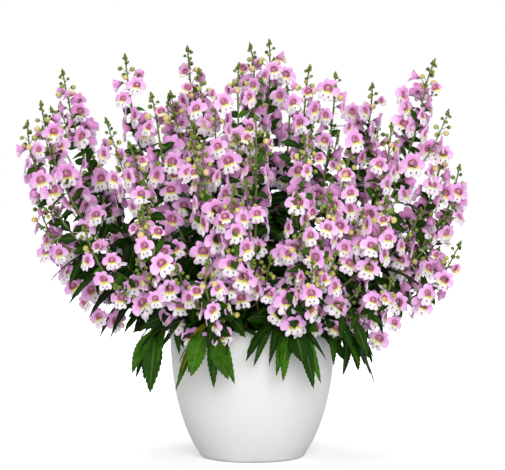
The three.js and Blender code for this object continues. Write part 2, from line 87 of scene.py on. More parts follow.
# Pot and soil
POT_HEIGHT = 0.145
POT_FOOT_RADIUS = 0.052
POT_HEEL_RADIUS = 0.059
POT_HEEL_HEIGHT = 0.005
POT_RIM_RADIUS = 0.091
POT_BULGE_LOW = (0.0845, 0.043)
POT_BULGE_HIGH = (0.090, 0.090)
POT_WALL = 0.0032
POT_LIP = 0.001
POT_STEPS = 22
POT_LIP_STEPS = 6
POT_FLOOR_ROOM = 0.002
POT_SMOOTH_ANGLE = math.radians(40)
# Round edge of the pot's foot: radius beyond the foot's, and height
POT_FOOT_EDGE = [(-0.006, 0.0015), (-0.004, 0.0), (0.0, 0.0), (0.0035, 0.0009), (0.0058, 0.0027)]
SEAT_GAP = 0.0003
SOIL_TOP = POT_HEIGHT - 0.016
SOIL_CROWN = SOIL_TOP + 0.005
SOIL_CROWN_RADIUS = 0.066
SOIL_SIDES = 150
SOIL_STEPS = 12
SOIL_RINGS = 34
SOIL_MIDDLE = 0.002
SOIL_SMOOTH_ANGLE = math.radians(60)
SOIL_CORNER = 0.004
SOIL_INSET = POT_WALL + SEAT_GAP
SOIL_EDGE = POT_RIM_RADIUS - SOIL_INSET - 0.0008
SOIL_EDGE_BAND = 0.001
SOIL_EDGE_SINK = 0.003
SOIL_CROWN_SINK = 0.0012
# Rise and fall of the peat: the scale of its noise, and the exponent, lacunarity and octaves
PEAT_SCALE = 160
PEAT_RELIEF = (0.9, 2.1, 4)
CRUMB_REACH = 0.084
CRUMB_SIZES = (0.0007, 0.0024)
CRUMB_SHAPE = (1, 0.8, 0.7)
CRUMB_SWELL = 0.45
CRUMB_LUMPS = 1.7
CRUMB_AXIS_RISE = 0.5

# The dome that the tips of the flowering stems reach
DOME_ACROSS = 0.242
DOME_DEEP = 0.205
DOME_MIDDLE = 0.140
DOME_RISE = 0.315

# Tips of the stems that the front view shows, across and up. Those that stand out of the dome are
# stepped in depth
FRONT_TIPS = [
    (-0.248, 0.370), (-0.238, 0.292), (-0.212, 0.428), (-0.138, 0.440), (-0.104, 0.398), (-0.072, 0.455),
    (-0.016, 0.428), (0.002, 0.456), (0.020, 0.463), (0.058, 0.427), (0.090, 0.420), (0.136, 0.415),
    (0.192, 0.436), (0.150, 0.366), (0.232, 0.322), (0.098, 0.340), (0.056, 0.352), (0.004, 0.372),
    (-0.052, 0.342), (-0.124, 0.346), (-0.186, 0.344), (-0.022, 0.300), (0.078, 0.294), (0.140, 0.290),
    (0.218, 0.240), (0.062, 0.226), (0.142, 0.208), (-0.050, 0.226), (-0.172, 0.258), (-0.112, 0.280),
    (-0.230, 0.390), (0.212, 0.346), (-0.056, 0.424), (-0.040, 0.390),
]
SKYLINE_STEP = 0.034
BACK_STEMS = 10
BACK_LOWEST = 0.215
BACK_HIGHEST = 0.425
BACK_SPREAD = math.radians(169)
GOLDEN_ANGLE = math.radians(137.5)

# Roots in the soil
STEM_DEPTH = 0.014
ROOT_REACH = 0.100
ROOT_LIMIT = 0.074
ROOT_SPACING = 0.009
ROOT_ROUNDS = 200
NEAREST_ROOTS = 0.00001

# Lines of the stems
STEM_PARTS = 5
STEM_FIRST_RISE = 0.030
STEM_RISE_SHARE = 0.14
STEM_SWING_SHARE = 0.3
STEM_END_SHARE = 0.58
STEM_TIP_LEAN = 0.18
LOW_TIP = 0.235
TALL_TIP = 0.395
STEM_SWAYS = (0.0, 0.012, -0.012, 0.024, -0.024, 0.036, -0.036)
STEM_LIFTS = (0.0, 0.014, 0.028)
STEM_SPACING = 0.006
STEM_STEPS = 60
RIM_GAP = 0.005
STEM_RADII = (0.0021, 0.0008)
SMOOTH_PARTS = 30
# The last stretch of a raceme bends to one side, and down by this share of it
NOD_LENGTH = 0.036
NOD_REACH = 0.007
NOD_SINK = 0.3

# Flowers, youngest first down the raceme. The solids have every fourth one
RACEME_LENGTH = 0.152
RACEME_SHARE = 0.7
FIRST_FLOWER = 0.042
FLOWER_PITCH = 0.0064
FLOWER_SPACING = 0.013
FLOWER_TURNS = (0, 0.6, -0.6, 1.2, -1.2)
FLOWER_ROOM = 0.0146
SOLID_FLOWERS = 4
# Buds and leaves of a front stem's solid, and of a back one's
SOLID_FRONT = (2, 3)
SOLID_BACK = (1, 1)
YOUNGEST_SIZE = 0.84
FULL_SIZE_ORDER = 6
PEDICEL = 0.015
PEDICEL_RISE = 0.5
FACING_TILT = 0.4
FACING_OUTWARD = 0.6
FACES_INSIDE = -0.2
# How far a flower turns aside, tilts and rolls, its size and how far it moves along its stalk and stem
FLORET_TURN = 0.95
FLORET_TILTS = (-0.25, 0.30)
FLORET_ROLL = 0.4
FLORET_SIZES = (0.84, 1.10)
FLORET_SHIFTS = (-0.002, 0.001)
FLORET_SLIDE = 0.002
# Small flowers above the first one, and the share of the others that has dropped: of all of them, of
# those that face inward, and of the lowest ones of tall stems, which drop first
YOUNG_ORDERS = (-1, -2)
DROPPED = 0.25
DROPPED_INSIDE = 0.60
DROPPED_LOW = 0.65
LOW_ORDER = 9
TALL_FROM = 0.320

# Half of a flower's outline: degrees from its top, share of its reach, and share of it forward
HALF_RIM = [
    (0, 0.67, 0.04), (13, 0.80, 0.05), (27, 0.88, 0.03), (41, 0.85, -0.01), (54, 0.69, -0.03),
    (64, 0.85, -0.05), (77, 0.98, -0.07), (91, 1.05, -0.09), (104, 1.08, -0.09), (115, 1.04, -0.06),
    (123, 0.92, -0.03), (129, 0.70, 0.00), (135, 0.98, 0.03), (143, 1.13, 0.02), (152, 1.17, 0.02),
    (160, 1.10, 0.04), (167, 0.95, 0.06), (173, 1.07, 0.03), (180, 1.12, 0.02),
]
FLORET_ROWS = 9
FACE_ROWS = 5
OPEN_FLORETS = 6
# Outline and cup of a flower that opens, and how much wider its mouth is
OPENING_SPREAD = 0.66
OPENING_CUP = 0.26
OPENING_MOUTH = 0.2
# Half the width of a flower's mouth, and its height above and below the middle, as shares of the reach
MOUTH = (0.42, 0.36, 0.24)
THROAT_DEPTH = 0.24
LIP_SPREAD = 0.7
TUBE_LENGTH = 0.54
CALYX_BACK = 0.62
SEPALS = 5
# Distance out and height of the calyx's rows, and where its edge is between two sepals
CALYX_ROWS = [(0.0, -0.5), (0.22, -0.34), (0.12, -0.60), (0.0, -CALYX_BACK)]
CALYX_NOTCH = (0.15, -0.47)
# What differs from one flower's shape to another's
FLORET_SKEW = 0.05
FLORET_NODS = (-0.05, 0.10)
LOBES = 5
LOBE_START = 0.75
LOBE_SIZES = (0.93, 1.05)
LOBE_TILT = 0.08
RUFFLE_WAVES = (4, 7, 10)
RUFFLE = 0.035
RUFFLE_OUT = 0.35
# Dark pits and yellow marks on a flower's lip
PIT_ASIDE = 0.23
PIT_RISE = -0.66
MARKS_END = -0.57

# Stalks of flowers and buds: how much they bend, and their radii
PEDICEL_BEND = 0.4
FLORET_PEDICEL = (0.00055, 0.0005)
BUD_PEDICEL = (0.0004, 0.0004)
FLORET_PEDICEL_PARTS = 8
BUD_PEDICEL_PARTS = 6
PEDICEL_DROP = 0.003
# Bracts below flowers, from the youngest to the oldest, and below buds
BRACT_LENGTHS = (0.008, 0.020)
BRACT_FULL_ORDER = 16
BUD_BRACTS = (0.004, 0.006)
BRACT_SIZES = (0.8, 1.2)
BRACT_SIDES = 4
BRACT_ROWS = [(0, 1), (0.40, 0.62), (0.44, 0.28), (0, 0)]
BRACT_WIDTH = 0.42
BRACT_RISE = 0.5
BRACT_DROOP = 0.25
BRACT_TINT = 0.3
BRACT_THICKNESS = 0.16

# Buds: the first and last distance from the tip, and the radius and the stalk at each
BUD_ZONE = (0.0100, 0.0420)
BUD_PITCH = 0.0042
BUD_RADIUS = (0.0017, 0.0036)
BUD_STALK = (0.0050, 0.0115)
BUD_RISE = 0.7
BUD_SINK = 0.8
# How far buds differ: along the stem, round it, in size, in stalk and in how they nod
BUD_SLIDE = 0.3
BUD_SWING = 0.4
BUD_SIZES = (0.85, 1.12)
BUD_STALK_SIZES = (0.8, 1.15)
BUD_NOD = 0.5
BUD_ROWS = [(0, 1.1), (0.62, 0.88), (0.98, 0.3), (0.94, -0.35), (0.55, -0.82), (0, -1)]
# Tiny buds at the tip, from the first to the last: how far they lean, stand off and measure
TIP_BUDS = 9
TIP_CLUSTER = 0.0075
TIP_LEANS = (0.2, 1.2)
TIP_OFFSETS = (0.0004, 0.0027)
TIP_RADIUS = (0.0011, 0.0019)
TIP_SIZES = (0.85, 1.15)
TIP_BUD_ROWS = [(0, 1.25), (0.75, 0.6), (0.95, -0.2), (0, -1)]

# Young racemes that branch off a stem, and short sprigs of buds among its flowers: how far below its
# tip they start, how long they are, how old their buds are and how thick they are
SIDE_START = (0.127, 0.182)
SIDE_LENGTH = (0.050, 0.105)
SIDE_AGES = (0.5, 1.0)
SIDE_RADII = (0.0010, 0.0006)
SIDE_FLOWERS = 2
SIDE_BARE_TIP = 0.012
SPRIG_START = (0.062, 0.112)
SPRIG_LENGTH = (0.028, 0.048)
SPRIG_AGES = (0.3, 0.7)
SPRIG_RADII = (0.0009, 0.0006)
LOWEST_BRANCH = 0.030
BRANCH_TURN = 1.5
BRANCH_SPREADS = (0.35, 0.65)
BRANCH_ROOT = 0.002
BRANCH_RISE = 0.5
BRANCH_LEAVING = 0.6
BRANCH_BEND = 0.3
# Low stems at the sides of the plant have no young racemes
SIDE_LOWEST_TIP = 0.300
SIDE_WIDEST_TIP = 0.130

# Flowers on long stalks that fill the outline of the front, across and up
OUTLINE_FLOWERS = [
    (-0.084, 0.382), (-0.028, 0.384), (0.037, 0.420), (0.081, 0.400), (0.104, 0.362), (0.110, 0.380),
    (0.166, 0.384), (0.193, 0.340), (0.210, 0.335), (0.232, 0.264), (0.206, 0.199), (0.182, 0.170),
    (0.138, 0.134), (-0.165, 0.340), (-0.144, 0.304), (-0.205, 0.203), (-0.196, 0.188), (-0.186, 0.170),
    (-0.170, 0.156), (-0.152, 0.150), (-0.190, 0.380), (-0.227, 0.227), (0.152, 0.150), (0.112, 0.140),
    (-0.080, 0.152), (-0.066, 0.140), (-0.048, 0.136), (-0.032, 0.144), (0.066, 0.148), (0.229, 0.292),
    (0.030, 0.398), (0.076, 0.345), (0.196, 0.312), (-0.176, 0.182), (0.166, 0.288), (0.172, 0.362),
    (0.161, 0.396), (0.106, 0.346),
]
OUTLINE_STALK = 0.045
OUTLINE_NEARER = 0.008
OUTLINE_OUTWARD = 0.5
OUTLINE_SIZE = 0.90
OUTLINE_ORDER = 4
# Beside the pot and just above it they hang this far outside its rim
OUTLINE_RIM_GAP = 0.022

# Leaves as the solids have them. Pairs of leaves fill the stems between them
LEAF_LENGTH = 0.052
LEAF_WIDTH = 0.014
LEAF_PITCH = 0.026
LEAF_ANGLE = 2.2
LEAF_RISE = 0.6
LEAF_SWING = 1.0
LEAF_SIZES = (0.9, 1.2)
LEAF_DROOPS = (0.3, 0.5)
LEAF_TURNS = (0, 0.4, -0.4, 0.8, -0.8)
TIP_MATCH = 0.0005
# The widest place of a blade, and how full it is below and above it
WIDEST = 0.48
FULLNESS = (1.5, 1.7)
# A blade's tip, thickness, fold at the rib and wave, as shares of its width
BLADE_TIP = 0.012
BLADE_THICKNESS = 0.03
BLADE_FOLD = 0.16
BLADE_WAVE = 0.05
# How its fold steepens to the edge, and how fast its wave runs along it
BLADE_FOLD_POWER = 1.3
BLADE_WAVES = 9
# Where along a blade its teeth are, and how far they slant
TEETH_FROM = 0.2
TEETH_TO = 0.96
TEETH_SLANT = 0.35
# Room between the leaves and the pot or the soil, and the places along a leaf where it is measured
LEAF_CLEARANCE = 0.005
CLEARANCE_STEPS = 8
# Pairs of leaves: how high above the soil they start, how far up into the raceme they go, and their
# length and width at the first and the last place
PAIRS_FROM = 0.012
PAIRS_INTO_RACEME = 0.100
PAIR_LENGTH = (0.050, 0.024)
PAIR_WIDTH = (0.0190, 0.0086)
PAIR_RISES = (0.1, 1.0)
PAIR_LIFT = 0.70
PAIR_DROOPS = (0.1, 0.8)
PAIR_TWIST = 0.7
# Which way a paired leaf faces: shares of its level direction, up, and to the front or the back
PAIR_FACE_LEVEL = (1, 1.6, 0)
PAIR_FACE_RISE = 0.6
PAIR_FACE_DEPTH = 0.8
PAIR_FACE_SWING = 0.4
# How pairs differ: how they shrink up the stem, and in angle, length, width and pitch
PAIR_TAPER = 1.5
PAIR_SWING = 0.3
PAIR_SIZES = (0.75, 1.15)
PAIR_WIDTHS = (0.85, 1.1)
PAIR_PITCHES = (0.85, 1.15)
# Low values give painted shade: leaves low on a stem take tints towards the shaded green
# How young and how lit the solids' leaves are, and how much a leaf's place counts beside chance
LEAF_YOUTH_AND_LIGHT = 0.3
YOUTH_AND_LIGHT_BY_PLACE = 0.55
# Among the flowers a leaf that points outward is shorter
PAIR_AMONG_FLOWERS = 0.62

# Leafy shoots
SHOOT_BEARINGS = (-62, -24, 22, 60, 148, 212)
SHOOT_ROOT = 0.072
SHOOT_END = 0.114
SHOOT_ARCH = 0.018
SHOOT_END_SHARE = -0.2
SHOOT_PARTS = 4
SHOOT_RADII = (0.0019, 0.0012)
SHOOT_LEAVES = 5
SHOOT_LEAF_REACH = 0.033
SHOOT_LEAF_WIDTH = 0.022
SHOOT_LEAF_RISE = 0.35
SHOOT_LEAF_ROOTS = (0.72, 0.97)
SHOOT_LEAF_FANS = (1.4, 0.2)
SHOOT_LEAF_SWING = 0.8
SHOOT_LEAF_SIZES = (0.75, 1.3)
SHOOT_LEAF_WIDTHS = (0.9, 1.1)
SHOOT_LEAF_DROOPS = (1.3, 2.2)
SHOOT_LEAF_TURNS = (0, 0.15, -0.15, 0.3, -0.3)
SHOOT_LEAF_TWIST = 0.8
SHOOT_FACE_LEVEL = 0.8
SHOOT_FACE_RISE = 0.6
SHOOT_LEAF_TINTS = (0.25, 0.85)
# Leaves that stand up and out over the shoot's hanging ones: places, fan, rise and sizes
UPPER_LEAVES = 7
UPPER_ROOTS = (0.50, 0.92)
UPPER_FAN = 1.8
UPPER_RISES = (0.3, 1.0)
UPPER_LENGTHS = (0.036, 0.052)
UPPER_WIDTHS = (0.014, 0.019)
UPPER_DROOPS = (0.35, 1.3)
UPPER_SWERVE = 0.3
# Short leaves that hang at the shoot's end
HANGING_LEAVES = 4
HANGING_ROOTS = (0.86, 0.98)
HANGING_FAN = 0.25
HANGING_RISE = 0.2
HANGING_LENGTHS = (0.027, 0.036)
HANGING_WIDTHS = (0.017, 0.022)
HANGING_DROOPS = (1.4, 2.3)
HANGING_SWERVE = 0.7
# The shoot with an old leaf, and which of its leaves that is
OLD_LEAF = (1, 1)
# The shoot with one long leaf that hangs beside the pot, and that leaf's fan, length and droop
LONG_LEAF_SHOOT = 0
LONG_LEAF = (-1.2, 0.038, 1.75)

# Tiles of the bake map: left, bottom, width, height and how many to a row
SPIKE_TILES = {
    "petal_face": (0, 0.75, 0.25, 0.25, 4),
    "petal_back": (0, 0.5, 0.25, 0.25, 4),
    "leaf": (0, 0, 0.375, 0.125, 2),
    "bud": (0.75, 0.25, 0.0625, 0.0625, 4),
    "stem": (0.75, 0, 0.125, 0.25, 1),
    "pedicel": (0.875, 0, 0.0625, 0.125, 1),
    "calyx": (0.9375, 0, 0.0625, 0.125, 1),
    "bract": (0.875, 0.125, 0.125, 0.125, 1),
}
SHOOT_TILES = {"leaf": (0, 0.25, 0.5, 0.125, 2), "stem": (0, 0, 0.5, 0.25, 1)}
PETAL_TINTS = 4
SPIKE_LEAF_TINTS = 8
FRESHEST_TINT = 0.85
BUD_AGES = 16
TILE_MARGIN = 0.03
FLAT_MAP_SCALE = 0.44
FLAT_MAP_MARGIN = 0.01
SMOOTH_ANGLE = math.radians(50)

# Stage
SENSOR_WIDTH = 36
KEY_PLACE = (0.30, -2.3, 0.95)
KEY_SIZE = 1.3
TOP_PLACE = (-0.3, 0.1, 2.4)
TOP_SIZE = 2.0
LIGHTS_AIM = (0, 0, 0.25)
FLOOR_SIZE = 40
FLOOR_WHITE = (0.9, 0.9, 0.9)
FLOOR_FADE = (0.08, 0.5)


def shade(red, green, blue):
    """A colour of 0 to 255 as the eye sees it, as the linear colour that a shader takes."""
    return tuple(((part / 255 + 0.055) / 1.055) ** 2.4 for part in (red, green, blue))


# Petals: how much light passes through them and how deep it goes, their bump, and how far apart the
# noise of their tints lies
PETAL_GLOW = 0.35
PETAL_DEPTH = 0.004
PETAL_GLOW_REACH = (1.0, 0.6, 0.8)
PETAL_BUMP = (0.0003, 0.5)
TINT_SPREAD = 9.0

# Colours inside the finishes
HALO = shade(238, 234, 170)
PIT = shade(84, 70, 36)
DEEP_THROAT = shade(154, 72, 114)
THROAT_STREAK = shade(230, 196, 190)
BACK_VEINS = shade(204, 124, 188)
BACK_LIP = shade(242, 222, 240)
TUBE = shade(192, 112, 158)
BUD_CROWN = shade(226, 146, 180)
YOUNG_SEPALS = shade(66, 88, 32)
OLD_SEPALS = shade(50, 60, 26)
DARK_CALYX = shade(36, 44, 22)
PALE_CALYX = shade(66, 78, 34)
CALYX_TIP = shade(84, 50, 44)
LEAF_SHADOW = shade(16, 34, 14)
LEAF_RIB = shade(150, 176, 92)
STEM_STREAK = shade(86, 106, 36)
STEM_BROWN = shade(84, 52, 30)
POT_CLOUD = shade(218, 218, 217)
# Warm grey of the patches that darken the pot towards its foot
POT_FOOT_GREY = shade(188, 180, 168)
DARK_CRUMB = shade(30, 20, 14)
PALE_SPECK = shade(196, 186, 166)


def colour(name, description, red, green, blue):
    """A colour that a user can change."""
    return FloatVectorProperty(
        name=name,
        description=description,
        default=shade(red, green, blue),
        size=3,
        min=0,
        max=1,
        subtype="COLOR",
    )


def amount(name, description, default, least=0.0, unit="NONE"):
    """A size, a power or a strength that a user can change."""
    return FloatProperty(name=name, description=description, default=default, min=least, unit=unit)


class AngeloniaPot(bpy.types.PropertyGroup):
    """The pot and what it holds"""

    white: colour("Pot white", "Colour of the moulded pot", 230, 230, 229)
    sides: IntProperty(name="Sides", description="Corners round the pot", default=128, min=24)
    peat: colour("Peat", "Colour of moist peat", 52, 38, 28)
    dry_peat: colour("Dry peat", "Colour of the crumbs that dried", 92, 70, 52)
    crumb_height: amount("Crumb height", "How far the peat rises and falls", 0.0016, unit="LENGTH")
    crumbs: IntProperty(name="Crumbs", description="Loose crumbs on the peat", default=160, min=0)


class AngeloniaFlowers(bpy.types.PropertyGroup):
    """Flowers and buds"""

    reach: amount("Reach", "From the middle of a full-grown flower to its rim", 0.0134, 0.004, "LENGTH")
    pink: colour("Pink", "Lilac-pink of the upper lobes", 247, 188, 241)
    deep_pink: colour("Deep pink", "Pink of the deepest flowers", 232, 160, 222)
    white: colour("White", "White of the lower lip", 239, 232, 238)
    throat: colour("Throat", "Purple inside the mouth", 184, 110, 144)
    marks: colour("Marks", "Yellow marks below the mouth", 212, 210, 40)
    back: colour("Back", "Mauve of the backs of the lobes", 228, 160, 216)
    young_bud: colour("Young bud", "Green of a young bud", 112, 134, 34)
    old_bud: colour("Old bud", "Cream of a bud that is about to open", 212, 200, 116)


class AngeloniaFoliage(bpy.types.PropertyGroup):
    """Stems and leaves"""

    leaf: colour("Leaf", "Green of most leaves", 31, 65, 13)
    shaded: colour("Shaded leaf", "Green of the darkest leaves", 13, 30, 6)
    fresh: colour("Fresh leaf", "Green of the youngest leaves", 62, 112, 18)
    yellowed: colour("Yellowed leaf", "Olive of an old leaf", 142, 138, 24)
    stem: colour("Stem", "Olive green of the stems", 112, 126, 44)
    pair_pitch: amount("Pair pitch", "From one pair of leaves to the next", 0.0110, 0.006, "LENGTH")


class AngeloniaStage(bpy.types.PropertyGroup):
    """Camera and light"""

    distance: amount("Distance", "From the camera to the plant's middle", 2.1, 0.5, "LENGTH")
    height: amount("Height", "Height of the camera above the floor", 0.30, unit="LENGTH")
    aim: amount("Aim", "Height that the camera looks at", 0.244, unit="LENGTH")
    lens: amount("Lens", "Focal length of the camera", 136, 20, "CAMERA")
    key_power: amount("Key power", "Power of the soft light from the front right", 36, unit="POWER")
    top_power: amount("Top power", "Power of the soft light from above", 26, unit="POWER")
    surround: amount("Surround", "Strength of the white surroundings", 0.46)


# Vectors and lines


def unit(vector):
    return vector / np.linalg.norm(vector)


def lerp(low, high, share):
    return (1 - share) * low + share * high


def clamped(value, low, high):
    return min(max(value, low), high)


class Draws:
    """Seeded draws from 0 to 1."""

    def __init__(self, seed):
        self.state = seed
        for _ in range(DRAWS_SKIPPED):
            self.next()

    def next(self):
        self.state = (self.state * DRAW_FACTOR + DRAW_STEP) % DRAW_RANGE
        return self.state / DRAW_RANGE

    def between(self, low, high):
        return lerp(low, high, self.next())

    def either_way(self, most):
        return self.between(-most, most)

    def turn(self):
        return self.next() * TURN


class Line:
    """A line through points, measured by its length."""

    def __init__(self, points):
        self.points = np.array(points, float)
        steps = np.linalg.norm(np.diff(self.points, axis=0), axis=1)
        self.lengths = np.concatenate([[0.0], np.cumsum(steps)])
        self.length = self.lengths[-1]

    def at(self, distance):
        """The point and the tangent at a distance along the line."""
        wanted = clamped(distance, 0.0, self.length)
        i = 1
        while i < len(self.lengths) - 1 and self.lengths[i] < wanted:
            i += 1
        share = (wanted - self.lengths[i - 1]) / (self.lengths[i] - self.lengths[i - 1])
        start, end = self.points[i - 1], self.points[i]
        return start + (end - start) * share, unit(end - start)


def bezier(corners, parts):
    """Points of a cubic curve, ends included."""
    a, b, c, d = (np.array(corner, float) for corner in corners)
    shares = np.linspace(0, 1, parts + 1)[:, None]
    left = 1 - shares
    return a * left**3 + 3 * b * left**2 * shares + 3 * c * left * shares**2 + d * shares**3


# Where everything grows from


def dome_reach(rise):
    """Square of the dome's reach at a rise, as a share of its widest."""
    return 1 - ((rise - DOME_MIDDLE) / DOME_RISE) ** 2


def tip_places():
    tips = []
    for i, (across, rise) in enumerate(FRONT_TIPS):
        left = dome_reach(rise) - (across / DOME_ACROSS) ** 2
        depth = DOME_DEEP * math.sqrt(left) if left > 0 else SKYLINE_STEP * (1 - i % 3)
        tips.append(np.array([across, -depth, rise]))
    for i in range(BACK_STEMS):
        rise = lerp(BACK_LOWEST, BACK_HIGHEST, (i + 0.5) / BACK_STEMS)
        reach = math.sqrt(dome_reach(rise))
        turns = (i + 0.5) * GOLDEN_ANGLE / TURN
        bearing = (turns - math.floor(turns) - 0.5) * BACK_SPREAD
        across = DOME_ACROSS * reach * math.sin(bearing)
        tips.append(np.array([across, DOME_DEEP * reach * math.cos(bearing), rise]))
    return tips


def root_places(tips, shoot_roots):
    """Roots lie under the tips: the more a stem leans, the nearer it stands to the rim."""
    roots = []
    for x, y, z in tips:
        across = math.hypot(x, y)
        lean = math.atan2(across, z - SOIL_TOP) / (math.pi / 2)
        roots.append([x * ROOT_REACH * lean / across, y * ROOT_REACH * lean / across])
    for _ in range(ROOT_ROUNDS):
        for i, root in enumerate(roots):
            for other in roots[i + 1:]:
                push_apart(root, other, 0.5, 0.5)
            for shoot in shoot_roots:
                push_apart(root, shoot, 1, 0)
            across = math.hypot(*root)
            if across > ROOT_LIMIT:
                root[0] *= ROOT_LIMIT / across
                root[1] *= ROOT_LIMIT / across
    return [np.array([x, y, SOIL_TOP - STEM_DEPTH]) for x, y in roots]


def push_apart(a, b, share_of_a, share_of_b):
    apart = (b[0] - a[0], b[1] - a[1])
    distance = max(math.hypot(*apart), NEAREST_ROOTS)
    if distance >= ROOT_SPACING:
        return
    push = (ROOT_SPACING - distance) / distance
    for k in range(2):
        a[k] -= apart[k] * push * share_of_a
        b[k] += apart[k] * push * share_of_b


def stem_curve(root, tip, sway, lift):
    """Corners of a stem's curve: upright in the soil, out over the rim, then up to its tip."""
    surface = np.array([root[0], root[1], SOIL_CROWN])
    outward = np.array([tip[0], tip[1], 0.0])
    reach = np.linalg.norm(outward)
    run = np.linalg.norm(tip - surface)
    tallness = clamped((tip[2] - LOW_TIP) / (TALL_TIP - LOW_TIP), 0, 1)
    outward = unit(outward)
    side = np.cross(outward, UP) * sway
    lean = unit(outward * (STEM_TIP_LEAN * reach / DOME_ACROSS) + UP)
    rise = STEM_FIRST_RISE + STEM_RISE_SHARE * run + lift
    start = surface + UP * rise + outward * (STEM_SWING_SHARE * tallness * reach) + side
    end = tip - lean * (STEM_END_SHARE * run) + side
    return surface, start, end, tip


def is_clear_of_rim(points):
    inside = np.hypot(points[:, 0], points[:, 1]) < POT_RIM_RADIUS - POT_WALL - RIM_GAP
    return bool(np.all(inside | (points[:, 2] > POT_HEIGHT + RIM_GAP)))


class Stem:
    """A flowering stem: the line that its flowers are set out on, and the smooth line that it follows."""

    def __init__(self, root, corners):
        self.line = Line([root, *bezier(corners, STEM_PARTS)])
        self.smooth = Line([root, *bezier(corners, SMOOTH_PARTS)])
        steps = np.linspace(0, self.line.length, STEM_STEPS + 1)
        self.trace = np.array([self.line.at(distance)[0] for distance in steps])
        self.raceme = min(RACEME_LENGTH, RACEME_SHARE * self.line.length)

    def nod(self, angle, reach):
        """Bends the last stretch of the smooth line to one side."""
        left = self.smooth.length - self.smooth.lengths
        share = np.clip(1 - left / NOD_LENGTH, 0, 1) ** 2
        aside = np.array([math.cos(angle), math.sin(angle), -NOD_SINK]) * reach
        self.smooth = Line(self.smooth.points + aside * share[:, None])

    def is_clear_of(self, traces):
        if not traces:
            return True
        others = np.concatenate(traces)
        apart = np.linalg.norm(others[:, None] - self.trace[None], axis=2)
        return bool(apart.min() > STEM_SPACING)

    def skin(self, distance):
        """The point of the smooth line beside a distance along the stem."""
        return self.smooth.at(distance * self.smooth.length / self.line.length)[0]

    def around(self, distance, angle):
        """The directions round a place, from outward at angle 0 and then to the side."""
        point, tangent = self.line.at(distance)
        level = unit(np.array([point[0], point[1], 0.0]))
        outward = unit(level - tangent * np.dot(level, tangent))
        side = np.cross(tangent, outward)
        return point, tangent, level, outward * math.cos(angle) + side * math.sin(angle)


def grown_stems(roots, tips):
    """Bends the stems, one after another, until each keeps clear of those before it."""
    stems = []
    for root, tip in zip(roots, tips):
        bends = [(sway, lift) for lift in STEM_LIFTS for sway in STEM_SWAYS]
        trials = (Stem(root, stem_curve(root, tip, *bend)) for bend in bends)
        traces = [stem.trace for stem in stems]
        stems.append(next(s for s in trials if s.is_clear_of(traces) and is_clear_of_rim(s.trace)))
    return stems


def flower_at(stem, start, order):
    distance = stem.line.length - FIRST_FLOWER - order * FLOWER_PITCH
    point, tangent, level, radial = stem.around(distance, start + order * GOLDEN_ANGLE)
    pedicel = unit(radial + tangent * PEDICEL_RISE)
    return {
        "distance": distance,
        "throat": point + pedicel * PEDICEL,
        "facing": unit(radial * (1, 1, FACING_TILT) + level * FACING_OUTWARD),
        "tangent": tangent,
        "radial": radial,
        "inside": np.dot(radial, level) < FACES_INSIDE,
        "size": lerp(YOUNGEST_SIZE, 1, min(1, order / FULL_SIZE_ORDER)),
        "order": order,
    }


def has_room(throat, taken):
    past_rim = math.hypot(throat[0], throat[1]) > POT_RIM_RADIUS + FLOWER_ROOM
    above_rim = throat[2] > POT_HEIGHT + FLOWER_ROOM
    if not (past_rim or above_rim):
        return False
    return not taken or np.linalg.norm(np.array(taken) - throat, axis=1).min() > FLOWER_SPACING


def flower_places(stem, start, taken):
    """Flowers in a spiral down the stem. One that would crowd another turns aside or is left out."""
    flowers = []
    for order in range(math.floor((stem.raceme - FIRST_FLOWER) / FLOWER_PITCH)):
        trials = (flower_at(stem, start + turn, order) for turn in FLOWER_TURNS)
        flower = next((trial for trial in trials if has_room(trial["throat"], taken)), None)
        if flower:
            taken.append(flower["throat"])
            flowers.append(flower)
    return flowers


def young_flowers(stem, start, taken):
    """Flowers that open above the first one, wherever there is room."""
    flowers = [flower_at(stem, start, order) for order in YOUNG_ORDERS]
    flowers = [flower for flower in flowers if has_room(flower["throat"], taken)]
    taken.extend(flower["throat"] for flower in flowers)
    return flowers


def outline_flowers(stems):
    """The flowers that fill the outline, each with the number of the front stem nearest to it."""
    flowers = []
    for across, rise in OUTLINE_FLOWERS:
        beside_pot = rise < POT_HEIGHT + OUTLINE_RIM_GAP
        if beside_pot:
            outside = -math.sqrt(max((POT_RIM_RADIUS + OUTLINE_RIM_GAP) ** 2 - across**2, 0))
            apart = [np.linalg.norm(stem.trace - (across, outside, rise), axis=1) for stem in stems]
        else:
            apart = [np.linalg.norm(stem.trace[:, [0, 2]] - (across, rise), axis=1) for stem in stems]
        number = min(range(len(stems)), key=lambda i: apart[i].min())
        stem = stems[number]
        distance = stem.line.length * apart[number].argmin() / STEM_STEPS
        point, tangent, level, _ = stem.around(distance, 0)
        depth = point[1] - OUTLINE_NEARER
        if beside_pot:
            depth = min(depth, outside)
        away = np.array([across, depth, rise]) - point
        reach = np.linalg.norm(away)
        flowers.append((number, {
            "distance": distance,
            "throat": point + away * min(1, OUTLINE_STALK / reach),
            "facing": unit(level * OUTLINE_OUTWARD + FRONT),
            "tangent": tangent,
            "radial": away / reach,
            "inside": False,
            "size": OUTLINE_SIZE,
            "order": OUTLINE_ORDER,
        }))
    return flowers


def stays(flower, tip, draws):
    """Whether a flower has not dropped yet."""
    low = flower["order"] >= LOW_ORDER and tip[2] > TALL_FROM
    dropped = DROPPED_INSIDE if flower["inside"] else DROPPED_LOW if low else DROPPED
    return flower["order"] % SOLID_FLOWERS == 0 or draws.next() > dropped


